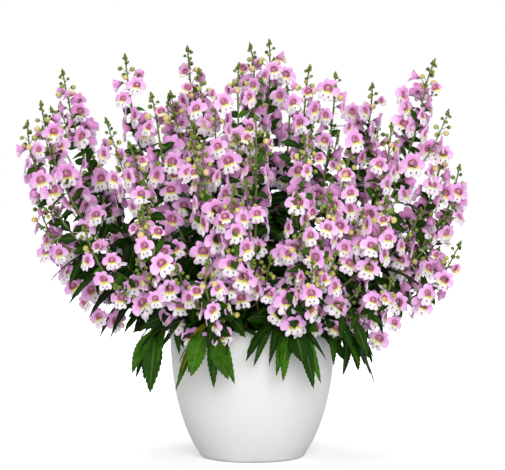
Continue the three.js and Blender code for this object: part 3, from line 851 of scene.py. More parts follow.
def stem_leaves(stem, draws, count):
    """Leaves of a flowering stem, below its raceme, where its solid has them."""
    top = stem.line.length - stem.raceme - LEAF_PITCH / 2
    lowest = STEM_DEPTH + SOIL_CROWN - SOIL_TOP + LEAF_PITCH / 2
    leaves = []
    for i in range(count):
        distance = max(top - LEAF_PITCH * i, lowest)
        angle = (i - 0.5) * LEAF_ANGLE + LEAF_SWING * (draws.next() - 0.5)
        point, tangent, _, radial = stem.around(distance, angle)
        leaves.append({
            "root": point,
            "direction": unit(radial + tangent * LEAF_RISE),
            "length": LEAF_LENGTH * draws.between(*LEAF_SIZES),
            "width": LEAF_WIDTH,
            "droop": draws.between(*LEAF_DROOPS),
        })
    return leaves


def shoot_places():
    """A leafy shoot leans over the rim, and its large leaves hang outside the pot."""
    shoots = []
    for bearing in SHOOT_BEARINGS:
        angle = math.radians(bearing)
        level = np.array([math.sin(angle), -math.cos(angle), 0.0])
        root = level * SHOOT_ROOT + UP * (SOIL_TOP - STEM_DEPTH)
        places = [
            (SHOOT_ROOT, SOIL_CROWN),
            (SHOOT_ROOT, POT_HEIGHT + SHOOT_ARCH),
            (POT_RIM_RADIUS, POT_HEIGHT + SHOOT_ARCH),
            (SHOOT_END, POT_HEIGHT + SHOOT_ARCH * SHOOT_END_SHARE),
        ]
        corners = [level * across + UP * rise for across, rise in places]
        shoots.append({"root": root, "level": level, "line": Line([root, *bezier(corners, SHOOT_PARTS)])})
    return shoots


def shoot_leaves(shoot, order):
    """Leaves of a shoot, to alternate sides, fanned out from the way the shoot points."""
    draws = Draws(SEED - 1 - order)
    side = np.cross(shoot["level"], UP)
    leaves = []
    for i in range(SHOOT_LEAVES):
        share = i / (SHOOT_LEAVES - 1)
        hand = 1 if (i + order) % 2 == 0 else -1
        fan = hand * lerp(*SHOOT_LEAF_FANS, share) + SHOOT_LEAF_SWING * (draws.next() - 0.5)
        line = shoot["line"]
        leaves.append({
            "root": line.at(line.length * lerp(*SHOOT_LEAF_ROOTS, share))[0],
            "direction": unit(shoot["level"] + side * fan) + UP * SHOOT_LEAF_RISE,
            "length": SHOOT_LEAF_REACH * draws.between(*SHOOT_LEAF_SIZES),
            "width": SHOOT_LEAF_WIDTH * draws.between(*SHOOT_LEAF_WIDTHS),
            "droop": draws.between(*SHOOT_LEAF_DROOPS),
        })
    return leaves


def turned_as_built(leaf, turns, node):
    """The leaf, turned as its solid is: by the first turn whose tip is a corner of the solid."""
    corners = points_of(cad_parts[node])
    for turn in turns:
        direction = np.array(Matrix.Rotation(turn, 3, "Z") @ Vector(leaf["direction"]))
        tip = leaf["root"] + direction * leaf["length"] - UP * leaf["droop"] * leaf["length"]
        if np.linalg.norm(corners - tip, axis=1).min() < TIP_MATCH:
            return {**leaf, "direction": direction}
    return leaf


# Selecting, points and corners


def select_only(*things):
    bpy.ops.object.select_all(action="DESELECT")
    for thing in things:
        thing.select_set(True)
    bpy.context.view_layer.objects.active = things[0]


def points_of(thing):
    flat = np.empty(len(thing.data.vertices) * 3, np.float32)
    thing.data.vertices.foreach_get("co", flat)
    return flat.reshape(-1, 3).astype(float)


def move_points(thing, points):
    thing.data.vertices.foreach_set("co", np.asarray(points, np.float32).ravel())
    thing.data.update()


def corners_of(thing):
    """The vertex and the face of each corner."""
    vertex = np.empty(len(thing.data.loops), np.int32)
    thing.data.loops.foreach_get("vertex_index", vertex)
    counts = np.empty(len(thing.data.polygons), np.int32)
    thing.data.polygons.foreach_get("loop_total", counts)
    return vertex, np.repeat(np.arange(len(counts)), counts)


def lay_map(thing, name, places):
    """Writes a UV map with a place for each corner."""
    layer = thing.data.uv_layers.get(name) or thing.data.uv_layers.new(name=name)
    layer.data.foreach_set("uv", np.asarray(places, np.float32).ravel())


class Blank:
    """A shape that is modelled once and then copied.

    Its corners hold two maps: Pattern, which its finishes read, and a place from 0 to 1 in a tile.
    """

    def __init__(self, thing, materials, kinds, column=None, row=None):
        self.thing = thing
        self.kinds = kinds
        self.column = column
        self.row = row
        self.columns = None if column is None else int(column.max()) + 1
        self.rows = None if row is None else int(row.max())
        for material in materials:
            thing.data.materials.append(material)

    def finish(self):
        """Keeps the places of the corners, and takes the shape out of the scene."""
        select_only(self.thing)
        bpy.ops.object.shade_smooth_by_angle(angle=SMOOTH_ANGLE)
        self.points = points_of(self.thing)
        mesh = self.thing.data
        flat = np.empty(len(mesh.loops) * 2, np.float32)
        mesh.uv_layers["OFBake"].data.foreach_get("uv", flat)
        self.places = flat.reshape(-1, 2)
        slots = np.empty(len(mesh.polygons), np.int32)
        mesh.polygons.foreach_get("material_index", slots)
        self.slots = slots[corners_of(self.thing)[1]]
        bpy.context.collection.objects.unlink(self.thing)
        return self

    def copy(self, points, tiles, number=0, tint=0.0):
        """A copy with its own mesh, moved to points, in tiles of that number."""
        part = self.thing.copy()
        part.data = self.thing.data.copy()
        bpy.context.collection.objects.link(part)
        move_points(part, points)
        places = np.empty_like(self.places)
        for slot, kind in enumerate(self.kinds):
            left, bottom, width, height, per_row = tiles[kind]
            corner = (left + width * (number % per_row), bottom + height * (number // per_row))
            chosen = self.slots == slot
            places[chosen] = self.places[chosen] * (width, height) + corner
        lay_map(part, "OFBake", places)
        values = np.full(len(self.points), tint, np.float32)
        part.data.attributes.new("tint", "FLOAT", "POINT").data.foreach_set("value", values)
        return part


def in_tile(places):
    return TILE_MARGIN + np.asarray(places) * (1 - 2 * TILE_MARGIN)


def ringed(columns, rows):
    """A closed shape of columns and rows, from a sphere: row 0 is its pole at the top."""
    bpy.ops.object.select_all(action="DESELECT")
    bpy.ops.mesh.primitive_uv_sphere_add(segments=columns, ring_count=rows, radius=1, calc_uvs=False)
    thing = bpy.context.object
    x, y, z = points_of(thing).T
    row = np.rint(np.arccos(np.clip(z, -1, 1)) / math.pi * rows).astype(int)
    column = np.rint(np.arctan2(y, x) / TURN * columns).astype(int) % columns
    return thing, column, row


def corner_places(thing, column, row, columns, rows):
    """Shares round and along a ringed shape for each corner, and the upper row of each face."""
    vertex, face = corners_of(thing)
    around = column[vertex].astype(float)
    along = row[vertex].astype(float)
    upper = np.empty(face.max() + 1, int)
    for i in range(face.max() + 1):
        own = face == i
        upper[i] = along[own].min()
        on_ring = own & (along > 0) & (along < rows)
        if np.ptp(around[on_ring]) > columns / 2:
            around[on_ring & (around < columns / 2)] += columns
        around[own & ~on_ring] = around[on_ring].mean()
    return np.stack([around / (columns + 1), along / rows], axis=1), upper


def ringed_blank(name, columns, rows, place, material, kind):
    """A blank whose vertex at a column and a row is where place puts it."""
    thing, column, row = ringed(columns, rows)
    thing.name = name
    places, _ = corner_places(thing, column, row, columns, rows)
    lay_map(thing, "Pattern", places * (1, -1) + (0, 1))
    lay_map(thing, "OFBake", in_tile(places))
    move_points(thing, [place(c, r) for c, r in zip(column, row)])
    return Blank(thing, [material], [kind], column, row).finish()


# Finishes


class Finish:
    """A material, and the nodes that are added to it."""

    def __init__(self, name, sockets):
        self.material = bpy.data.materials.new(name)
        self.material.use_nodes = True
        self.tree = self.material.node_tree
        self.shader = self.tree.nodes["Principled BSDF"]
        for socket, value in sockets.items():
            self.set(socket, value)

    def feed(self, socket, value):
        if isinstance(value, bpy.types.NodeSocket):
            self.tree.links.new(value, socket)
        elif isinstance(value, (tuple, Color)):
            socket.default_value = (*value, 1)
        else:
            socket.default_value = value

    def set(self, socket, value):
        """Sets one of the shader's own sockets."""
        self.feed(self.shader.inputs[socket], value)

    def add(self, kind, inputs, output=0, **settings):
        node = self.tree.nodes.new("ShaderNode" + kind)
        for name, value in settings.items():
            setattr(node, name, value)
        for socket, value in dict(inputs).items():
            self.feed(node.inputs[socket], value)
        return node.outputs[output]

    def math(self, operation, *values):
        return self.add("Math", enumerate(values), operation=operation)

    def product(self, *values):
        result = values[0]
        for value in values[1:]:
            result = self.math("MULTIPLY", result, value)
        return result

    def step(self, value, start, end, most=1.0):
        """0 at start, most at end, and smooth between them."""
        inputs = {"Value": value, "From Min": start, "From Max": end, "To Max": most}
        return self.add("MapRange", inputs, interpolation_type="SMOOTHSTEP")

    def mix(self, share, a, b):
        return self.add("Mix", {0: share, 6: a, 7: b}, output=2, data_type="RGBA")

    def vector(self, x, y, z=0.0):
        return self.add("CombineXYZ", {0: x, 1: y, 2: z})

    def parts(self, vector):
        split = self.tree.nodes.new("ShaderNodeSeparateXYZ")
        self.feed(split.inputs[0], vector)
        return split.outputs[0], split.outputs[1], split.outputs[2]

    def length(self, x, y):
        return self.math("SQRT", self.math("ADD", self.product(x, x), self.product(y, y)))

    def noise(self, vector, scale, detail=2.0):
        return self.add("TexNoise", {"Vector": vector, "Scale": scale, "Detail": detail})

    def pattern(self):
        """Both parts of the piece's own map."""
        return self.parts(self.add("UVMap", {}, uv_map="Pattern"))[:2]

    def tint(self):
        return self.add("Attribute", {}, output="Fac", attribute_name="tint")

    def place(self):
        return self.add("TexCoord", {}, output="Object")

    def veins(self, count, scale):
        """Veins that run out from the middle of a flower."""
        across, rise = self.pattern()
        angle = self.product(self.math("ARCTAN2", across, rise), count)
        depth = self.product(self.tint(), TINT_SPREAD)
        return self.noise(self.vector(angle, self.length(across, rise), depth), scale, 3)

    def colour(self, value):
        self.set("Base Color", value)

    def glow_through(self):
        """Lets light pass through thin petals."""
        self.set("Subsurface Weight", PETAL_GLOW)
        self.set("Subsurface Scale", PETAL_DEPTH)
        self.shader.inputs["Subsurface Radius"].default_value = PETAL_GLOW_REACH

    def bump(self, height, distance, strength):
        inputs = {"Height": height, "Distance": distance, "Strength": strength}
        self.set("Normal", self.add("Bump", inputs))


class PetalFace(Finish):
    """Front of a flower: pink lobes, a white lip with two pits, yellow marks and a purple throat."""

    def __init__(self, flowers):
        super().__init__("petal_face", {"Roughness": 0.6, "Sheen Weight": 0.1})
        self.flowers = flowers
        self.glow_through()
        self.across, self.rise = self.pattern()
        self.tinted = self.tint()
        self.width = self.math("ABSOLUTE", self.across)
        self.skirt = self.math("MULTIPLY_ADD", self.width, 0.81, self.rise)
        place = self.vector(self.across, self.rise, self.product(self.tinted, TINT_SPREAD))
        self.blotch = self.noise(place, 5.0, 2)
        veins = self.veins(7.0, 1.6)
        self.colour(self.with_throat(self.with_marks(self.lobes(veins))))
        self.bump(veins, *PETAL_BUMP)

    def lobes(self, veins):
        """Pink, deeper round the mouth and along the veins, and a white lip whose rim is pink."""
        flowers = self.flowers
        ray = self.length(self.across, self.rise)
        pink = self.mix(self.tinted, flowers.pink, flowers.deep_pink)
        pink = self.mix(self.step(veins, 0.45, 0.75, 0.3), pink, flowers.deep_pink)
        pink = self.mix(self.step(ray, 0.85, 0.45, 0.6), pink, flowers.deep_pink)
        pink = self.mix(self.step(self.rise, 0.2, -0.5, 0.35), pink, flowers.white)
        lip = self.step(self.skirt, 0.04, -0.10)
        inner = self.math("SUBTRACT", 1.0, self.step(ray, 0.80, 1.15, 0.75))
        return self.mix(self.product(lip, inner), pink, flowers.white)

    def with_marks(self, petal):
        """Yellow marks with a pale halo and a ragged lower edge, and the two pits below them."""
        halo = self.product(self.step(self.rise, -0.62, -0.34), self.step(self.skirt, 0.12, 0.0), 0.55)
        petal = self.mix(halo, petal, HALO)
        drip = self.math("MULTIPLY_ADD", self.tinted, 5.0, self.product(self.across, 23.0))
        drip = self.math("MULTIPLY_ADD", self.blotch, 5.0, self.math("SINE", drip))
        lowest = self.math("MULTIPLY_ADD", drip, 0.06, MARKS_END)
        above = self.step(self.rise, lowest, self.math("ADD", lowest, 0.14))
        marks = self.product(above, self.step(self.rise, -0.08, -0.16), self.step(self.width, 0.48, 0.36))
        petal = self.mix(marks, petal, self.flowers.marks)
        aside = self.math("SUBTRACT", self.width, PIT_ASIDE)
        pit = self.length(aside, self.product(self.math("SUBTRACT", self.rise, PIT_RISE), 0.7))
        return self.mix(self.step(pit, 0.10, 0.04, 0.85), petal, PIT)

    def with_throat(self, petal):
        """The purple inside of the mouth, blotched, with a pale streak down its middle."""
        wide, high, low = (1 / size for size in MOUTH)
        arch = self.length(self.product(self.across, wide), self.product(self.rise, high))
        mouth = self.math("MAXIMUM", arch, self.product(self.rise, -low))
        inside = self.step(self.math("MULTIPLY_ADD", self.blotch, 0.3, mouth), 1.20, 1.06)
        deep = self.mix(self.step(self.blotch, 0.4, 0.65), self.flowers.throat, DEEP_THROAT)
        streak_rise = self.product(self.math("SUBTRACT", self.rise, 0.08), 4.2)
        streak = self.length(self.product(self.across, 7.0), streak_rise)
        streak = self.math("MULTIPLY_ADD", self.blotch, 1.4, streak)
        deep = self.mix(self.step(streak, 1.9, 0.7, 0.6), deep, THROAT_STREAK)
        return self.mix(inside, petal, deep)


def petal_back_finish(flowers):
    """Back of a flower: veined mauve lobes, paler below, and a purple tube."""
    finish = Finish("petal_back", {"Roughness": 0.6, "Sheen Weight": 0.2})
    finish.glow_through()
    across, rise = finish.pattern()
    ray = finish.length(across, rise)
    veins = finish.veins(8.0, 1.8)
    mauve = finish.mix(finish.product(finish.tint(), 0.5), flowers.back, flowers.deep_pink)
    mauve = finish.mix(finish.step(veins, 0.45, 0.7, 0.35), mauve, BACK_VEINS)
    pale = finish.product(finish.step(rise, -0.15, -0.5), finish.step(ray, 0.3, 0.55), 0.75)
    lobe = finish.mix(pale, mauve, BACK_LIP)
    finish.colour(finish.mix(finish.step(ray, 0.42, 0.18), lobe, TUBE))
    finish.bump(veins, *PETAL_BUMP)
    return finish.material


def bud_finish(flowers):
    """A bud: green and dark at its base when young, then cream with a pink crown."""
    finish = Finish("bud", {"Roughness": 0.5})
    around, along = finish.pattern()
    age = finish.tint()
    body = finish.mix(finish.step(age, 0.3, 0.95), flowers.young_bud, flowers.old_bud)
    place = finish.vector(finish.product(around, 5.0), along, finish.product(age, 5.0))
    uneven = finish.noise(place, 2.0, 2)
    crown = finish.product(finish.step(age, 0.6, 0.95), finish.step(along, 0.5, 0.95))
    crown = finish.product(crown, finish.step(uneven, 0.35, 0.6, 0.75))
    body = finish.mix(crown, body, BUD_CROWN)
    notch = finish.math("ABSOLUTE", finish.math("SINE", finish.product(around, SEPALS * math.pi)))
    young = finish.math("MULTIPLY_ADD", finish.math("SUBTRACT", 1.0, age), 0.3, 0.12)
    edge = finish.math("MULTIPLY_ADD", notch, 0.12, young)
    sepals = finish.step(finish.math("SUBTRACT", edge, along), -0.04, 0.04)
    finish.colour(finish.mix(sepals, body, finish.mix(age, YOUNG_SEPALS, OLD_SEPALS)))
    finish.bump(uneven, 0.0002, 0.4)
    return finish.material


def calyx_finish():
    """Dark green sepals behind a flower."""
    finish = Finish("calyx", {"Roughness": 0.6})
    _, along = finish.pattern()
    mottle = finish.noise(finish.place(), 900.0)
    green = finish.mix(finish.step(mottle, 0.35, 0.65), DARK_CALYX, PALE_CALYX)
    finish.colour(finish.mix(finish.product(along, 0.5), green, CALYX_TIP))
    finish.bump(mottle, 0.0001, 0.4)
    return finish.material


def leaf_finish(foliage):
    """A dull blade: a pale rib, fine side veins and a mottled green that the tint picks, from the
    painted-shade green through the leaf green to the fresh one.
    """
    finish = Finish("leaf", {"Roughness": 0.42, "Specular IOR Level": 0.05})
    along, across = finish.pattern()
    tint = finish.tint()
    width = finish.math("ABSOLUTE", across)
    mottle = finish.noise(finish.place(), 160.0, 3)
    green = finish.mix(finish.step(tint, 0.0, 0.45), foliage.shaded, foliage.leaf)
    green = finish.mix(finish.step(tint, 0.5, 0.85), green, foliage.fresh)
    green = finish.mix(finish.step(tint, 0.93, 0.97), green, foliage.yellowed)
    dark = finish.mix(0.5, green, LEAF_SHADOW)
    green = finish.mix(finish.step(mottle, 0.35, 0.75), green, dark)
    slant = finish.math("SUBTRACT", finish.product(along, 11.0), finish.product(width, 2.2))
    wave = finish.math("ABSOLUTE", finish.math("SUBTRACT", finish.math("FRACT", slant), 0.5))
    side_vein = finish.product(finish.step(wave, 0.09, 0.02), finish.step(width, 0.95, 0.7))
    rib = finish.step(width, 0.16, 0.04)
    pale = finish.mix(0.55, green, LEAF_RIB)
    veined = finish.mix(finish.product(side_vein, 0.16), green, pale)
    finish.colour(finish.mix(finish.product(rib, 0.28), veined, pale))
    height = finish.math("SUBTRACT", 1.0, finish.math("MAXIMUM", rib, finish.product(side_vein, 0.6)))
    finish.bump(height, 0.0004, 0.6)
    return finish.material


def stalk_finish(name, foliage, warm):
    """Olive stems and pedicels with fine streaks along them. warm is the share of red-brown."""
    finish = Finish(name, {"Roughness": 0.5, "Sheen Weight": 0.2})
    around, along = finish.pattern()
    streaks = finish.noise(finish.vector(finish.product(around, 30.0), finish.product(along, 4.0)), 1.0, 3)
    green = finish.mix(finish.step(streaks, 0.3, 0.7), foliage.stem, STEM_STREAK)
    brown = finish.math("MAXIMUM", finish.step(along, 0.35, 0.0, 0.5), warm)
    finish.colour(finish.mix(brown, green, STEM_BROWN))
    finish.bump(streaks, 0.0002, 0.5)
    return finish.material


def pot_finish(pot):
    """Satin moulded plastic with a faint uneven gloss, and patches of warm grey that darken it towards its
    foot.
    """
    sockets = {"Coat Weight": 0.06, "Coat Roughness": 0.25, "Specular IOR Level": 0.35}
    finish = Finish("pot_plastic", sockets)
    place = finish.place()
    height = finish.parts(place)[2]
    cloud = finish.noise(place, 18.0, 3)
    white = finish.mix(finish.product(cloud, 0.25), pot.white, POT_CLOUD)
    # Warm grey patches in the lowest two centimetres: the pot is darker towards its foot
    foot_grey = finish.product(finish.step(height, 0.02, 0.0), finish.step(cloud, 0.35, 0.7, 0.25))
    finish.colour(finish.mix(foot_grey, white, POT_FOOT_GREY))
    finish.set("Roughness", finish.add("MapRange", {"Value": cloud, "To Min": 0.30, "To Max": 0.42}))
    finish.bump(finish.noise(place, 700.0, 2), 0.00004, 0.5)
    return finish.material


def peat_finish(pot):
    """Moist dark peat with drier crumbs and pale specks."""
    finish = Finish("peat", {"Roughness": 0.95, "Specular IOR Level": 0.2})
    place = finish.place()
    coarse = finish.noise(place, 140.0, 4)
    fine = finish.noise(place, 900.0, 4)
    brown = finish.mix(finish.step(coarse, 0.4, 0.72), pot.peat, pot.dry_peat)
    brown = finish.mix(finish.step(fine, 0.5, 0.75, 0.5), brown, DARK_CRUMB)
    speck = finish.add("TexVoronoi", {"Vector": place, "Scale": 260.0}, output="Distance")
    rare = finish.step(finish.noise(place, 60.0, 1), 0.62, 0.66)
    finish.colour(finish.mix(finish.product(finish.step(speck, 0.22, 0.12), rare), brown, PALE_SPECK))
    finish.bump(finish.math("ADD", coarse, fine), 0.0012, 0.8)
    return finish.material


# Blanks


def on_circle(column, columns, out, rise):
    """The point at a column of a round shape."""
    angle = column * TURN / columns
    return math.cos(angle) * out, math.sin(angle) * out, rise


def rim_table():
    """The whole outline, anticlockwise from the top as seen from the front."""
    left = [(math.radians(angle), reach, forward) for angle, reach, forward in HALF_RIM]
    right = [(TURN - angle, reach, forward) for angle, reach, forward in left[-2:0:-1]]
    return left + right


def floret_blank(name, seed, spread=1.0, cup=0.0):
    """A flower that faces +Z, of reach 1: its throat, its lobes, their backs and its tube.

    spread shrinks its outline and cup folds its lobes forward, as on a flower that opens.
    """
    rim = rim_table()
    draws = Draws(seed)
    phases = [draws.turn() for _ in RUFFLE_WAVES]
    skew = draws.either_way(FLORET_SKEW)
    nod = draws.between(*FLORET_NODS)
    lobes = [draws.between(*LOBE_SIZES) for _ in range(LOBES)]
    tilts = [draws.either_way(LOBE_TILT) for _ in range(LOBES)]

    def rim_at(column):
        angle, reach, forward = rim[column]
        lobe = int(((angle + LOBE_START) % TURN) / TURN * LOBES) % LOBES
        wave = sum(RUFFLE * math.sin(count * angle + phase) for count, phase in zip(RUFFLE_WAVES, phases))
        reach *= (lobes[lobe] + RUFFLE_OUT * wave) * (1 + skew * math.sin(angle)) * spread
        return angle, reach, forward + wave + tilts[lobe] - nod * math.cos(angle) + cup

    def mouth_at(angle):
        arch = 1 / math.hypot(math.sin(angle) / MOUTH[0], math.cos(angle) / MOUTH[1])
        sill = MOUTH[2] / max(-math.cos(angle), MOUTH[2])
        return min(arch, sill) * min(1, spread + OPENING_MOUTH)

    def place(column, row):
        angle, reach, forward = rim_at(column)
        mouth = mouth_at(angle)
        lip = math.exp(-((angle - math.pi) / LIP_SPREAD) ** 2)
        # How far out and how high each row is, from the middle of the throat to the end of the tube
        rows = [
            (0.0, -THROAT_DEPTH),
            (0.82 * mouth, -0.13),
            (1.04 * mouth, 0.02 + 0.04 * lip),
            (lerp(mouth, reach, 0.30), 0.30 * forward + 0.06 + 0.09 * lip),
            (lerp(mouth, reach, 0.66), 0.62 * forward + 0.09 + 0.05 * lip),
            (reach, forward),
            (reach * 0.975, forward - 0.035),
            (mouth * 1.1 + 0.04, -0.07),
            (0.12, -TUBE_LENGTH),
            (0.0, -TUBE_LENGTH - 0.02),
        ]
        out, depth = rows[row]
        return -math.sin(angle) * out, math.cos(angle) * out, depth

    thing, column, row = ringed(len(rim), FLORET_ROWS)
    thing.name = name
    _, upper = corner_places(thing, column, row, len(rim), FLORET_ROWS)
    move_points(thing, [place(c, r) for c, r in zip(column, row)])
    thing.data.polygons.foreach_set("material_index", np.where(upper < FACE_ROWS, 0, 1).astype(np.int32))
    return thing


def calyx_star():
    """Five pointed sepals round the end of a floret's tube."""

    def place(column, row):
        notch = row == 1 and column % 2 == 1
        return on_circle(column, 2 * SEPALS, *(CALYX_NOTCH if notch else CALYX_ROWS[row]))

    thing, column, row = ringed(2 * SEPALS, len(CALYX_ROWS) - 1)
    move_points(thing, [place(c, r) for c, r in zip(column, row)])
    thing.data.polygons.foreach_set("material_index", np.full(len(thing.data.polygons), 2, np.int32))
    return thing


def flat_map(thing):
    """Lays both maps of a floret as it is seen from the front."""
    vertex, _ = corners_of(thing)
    seen = points_of(thing)[vertex][:, :2]
    lay_map(thing, "Pattern", seen)
    lay_map(thing, "OFBake", np.clip(0.5 + seen * FLAT_MAP_SCALE, FLAT_MAP_MARGIN, 1 - FLAT_MAP_MARGIN))


def floret_blanks(materials):
    """Open florets, each of its own shape, and one that opens."""
    blanks = []
    for i in range(OPEN_FLORETS + 1):
        opening = (OPENING_SPREAD, OPENING_CUP) if i == OPEN_FLORETS else ()
        floret = floret_blank(f"floret_{i}", FLORET_SEED + i, *opening)
        calyx = calyx_star()
        for thing in (floret, calyx):
            flat_map(thing)
            for material in materials:
                thing.data.materials.append(material)
        select_only(floret, calyx)
        bpy.ops.object.join()
        blanks.append(Blank(floret, [], ["petal_face", "petal_back", "calyx"]).finish())
    return blanks


def bud_blank(name, sides, rows, material):
    """A closed bud on its base, of radius 1."""

    def place(column, row):
        return on_circle(column, sides, *rows[row])

    return ringed_blank(name, sides, len(rows) - 1, place, material, "bud")


def bract_blank(material):
    """A small pointed leaf of length 1 along +Y, too small to show its teeth."""

    def place(column, row):
        across, thick, along = on_circle(column, BRACT_SIDES, *BRACT_ROWS[row])
        return across, along, thick * BRACT_THICKNESS

    return ringed_blank("bract", BRACT_SIDES, len(BRACT_ROWS) - 1, place, material, "bract")


def stalk_blank(name, sides, rows, material, kind):
    """A stalk of length 1 and radius 1, which is bent to its line as it is copied."""

    def place(column, row):
        along = 1 - clamped((row - 1) / (rows - 2), 0, 1)
        return on_circle(column, sides, 0 if row in (0, rows) else 1, along)

    return ringed_blank(name, sides, rows, place, material, kind)


def blade_width(share):
    """Half the width of a leaf, as a share of its widest half."""
    near = min(share / WIDEST, (1 - share) / (1 - WIDEST))
    return 1 - (1 - max(near, 0)) ** (FULLNESS[0] if share < WIDEST else FULLNESS[1])


def leaf_blank(name, across, along, teeth_depth, bunching, material):
    """A blade of length 1 and width 1 along +Y: toothed, folded at its rib, and of a real thickness.

    bunching under 1 crowds its rows towards the tip, for a blade that hangs down there.
    """
    bpy.ops.object.select_all(action="DESELECT")
    bpy.ops.mesh.primitive_grid_add(x_subdivisions=across, y_subdivisions=along, size=1, calc_uvs=False)
    thing = bpy.context.object
    thing.name = name
    x, y, _ = points_of(thing).T
    side = 2 * x
    step = np.rint((y + 0.5) * along).astype(int)
    share = step / along
    at_edge = (np.abs(side) > 0.99) & (share > TEETH_FROM) & (share < TEETH_TO)
    notched = at_edge & (step % 2 == 1)
    half = np.array([0.5 * max(blade_width(s), BLADE_TIP) for s in share])
    half = half * np.where(notched, 1 - teeth_depth, 1)
    forward = np.where(at_edge & ~notched, TEETH_SLANT / along, 0)
    fold = BLADE_FOLD * np.abs(side) ** BLADE_FOLD_POWER * half
    wave = BLADE_WAVE * np.abs(side) * np.sin(share * BLADE_WAVES + side) * half
    move_points(thing, np.stack([side * half, share**bunching + forward, fold + wave], axis=1))
    vertex, _ = corners_of(thing)
    pattern = np.stack([share, side], axis=1)[vertex]
    lay_map(thing, "Pattern", pattern)
    lay_map(thing, "OFBake", in_tile(pattern * (1, 0.5) + (0, 0.5)))
    select_only(thing)
    bpy.ops.object.modifier_add(type="SOLIDIFY")
    solidify = thing.modifiers[-1]
    solidify.thickness = BLADE_THICKNESS
    solidify.offset = -1
    bpy.ops.object.modifier_apply(modifier=solidify.name)
    return Blank(thing, [material], ["leaf"]).finish()


# Parts


def square_to(axis, hint):
    """Two directions square to an axis: the second is as near to hint as it can be."""
    up = unit(hint - axis * np.dot(hint, axis))
    return np.cross(up, axis), up


def set_down(blank, origin, right, up, axis, scale):
    """The blank's points, with its x, y and z along right, up and axis."""
    return origin + (blank.points * scale) @ np.array([right, up, axis])


def stalk(blank, line, radii, tiles):
    """A stalk bent along a line, its radius from radii at the root to that at the tip."""
    shares = 1 - np.clip((np.arange(blank.rows + 1) - 1) / (blank.rows - 2), 0, 1)
    centres, rights, ups = [], [], []
    _, first = line.at(0)
    hint = np.eye(3)[np.argmin(np.abs(first))]
    for share in shares:
        centre, tangent = line.at(share * line.length)
        right, up = square_to(tangent, hint)
        centres.append(centre)
        rights.append(right)
        ups.append(up)
    row = blank.row
    angle = blank.column * TURN / blank.columns
    radius = lerp(radii[0], radii[1], shares[row]) * ((row > 0) & (row < blank.rows))
    sideways = np.cos(angle)[:, None] * np.array(rights)[row] + np.sin(angle)[:, None] * np.array(ups)[row]
    return blank.copy(np.array(centres)[row] + radius[:, None] * sideways, tiles)


def blade(blank, leaf, tiles, number=0, tint=0.0):
    """A leaf or bract that arches down along its length, and turns a little about it."""
    x, y, z = blank.points.T[:, :, None]
    direction, length, width = leaf["direction"], leaf["length"], leaf["width"]
    aside = unit(np.cross(direction, UP)) * leaf.get("swerve", 0.0)
    middle = leaf["root"] + direction * length * y + (aside - UP * leaf["droop"]) * length * y**2
    tangent = direction - UP * (2 * leaf["droop"] * y)
    tangent /= np.linalg.norm(tangent, axis=1)[:, None]
    side = unit(np.cross(direction, leaf.get("face", UP)))
    normal = np.cross(side, tangent)
    twist = leaf.get("twist", 0.0) * y
    across = side * np.cos(twist) + normal * np.sin(twist)
    normal = np.cross(across, tangent)
    return blank.copy(middle + across * x * width + normal * z * width, tiles, number, tint)


def floret_parts(stem, flower, blanks, reach, draws, tints):
    """A flower, its pedicel and the bract below it."""
    opening = flower["order"] < 0
    florets = blanks["florets"]
    blank = florets[-1] if opening else florets[int(draws.next() * OPEN_FLORETS)]
    aside = np.cross(flower["facing"], UP) * draws.either_way(FLORET_TURN)
    facing = unit(flower["facing"] + aside + UP * draws.between(*FLORET_TILTS))
    right, up = square_to(facing, flower["tangent"] + UP)
    roll = draws.either_way(FLORET_ROLL)
    right, up = right * math.cos(roll) + up * math.sin(roll), up * math.cos(roll) - right * math.sin(roll)
    scale = reach * flower["size"] * draws.between(*FLORET_SIZES)
    number = int(draws.next() * PETAL_TINTS)
    heart = flower["throat"] + flower["radial"] * draws.between(*FLORET_SHIFTS)
    heart = heart + flower["tangent"] * draws.either_way(FLORET_SLIDE)
    points = set_down(blank, heart, right, up, facing, scale)
    base = heart - facing * CALYX_BACK * scale
    root = stem.skin(flower["distance"] - PEDICEL_DROP)
    bend = np.linalg.norm(base - root) * PEDICEL_BEND
    corners = (root, root + unit(flower["radial"] + UP) * bend, base - facing * bend, base)
    line = Line(bezier(corners, FLORET_PEDICEL_PARTS))
    age = min(1, flower["order"] / BRACT_FULL_ORDER)
    length = lerp(*BRACT_LENGTHS, age) * draws.between(*BRACT_SIZES)
    return [
        blank.copy(points, SPIKE_TILES, number, tints[number]),
        stalk(blanks["pedicel"], line, FLORET_PEDICEL, SPIKE_TILES),
        bract(root, flower["radial"], flower["tangent"], length, blanks),
    ]


def bract(root, radial, tangent, length, blanks):
    leaf = {
        "root": root,
        "direction": unit(radial + tangent * BRACT_RISE),
        "length": length,
        "width": length * BRACT_WIDTH,
        "droop": BRACT_DROOP,
    }
    return blade(blanks["bract"], leaf, SPIKE_TILES, 0, BRACT_TINT)


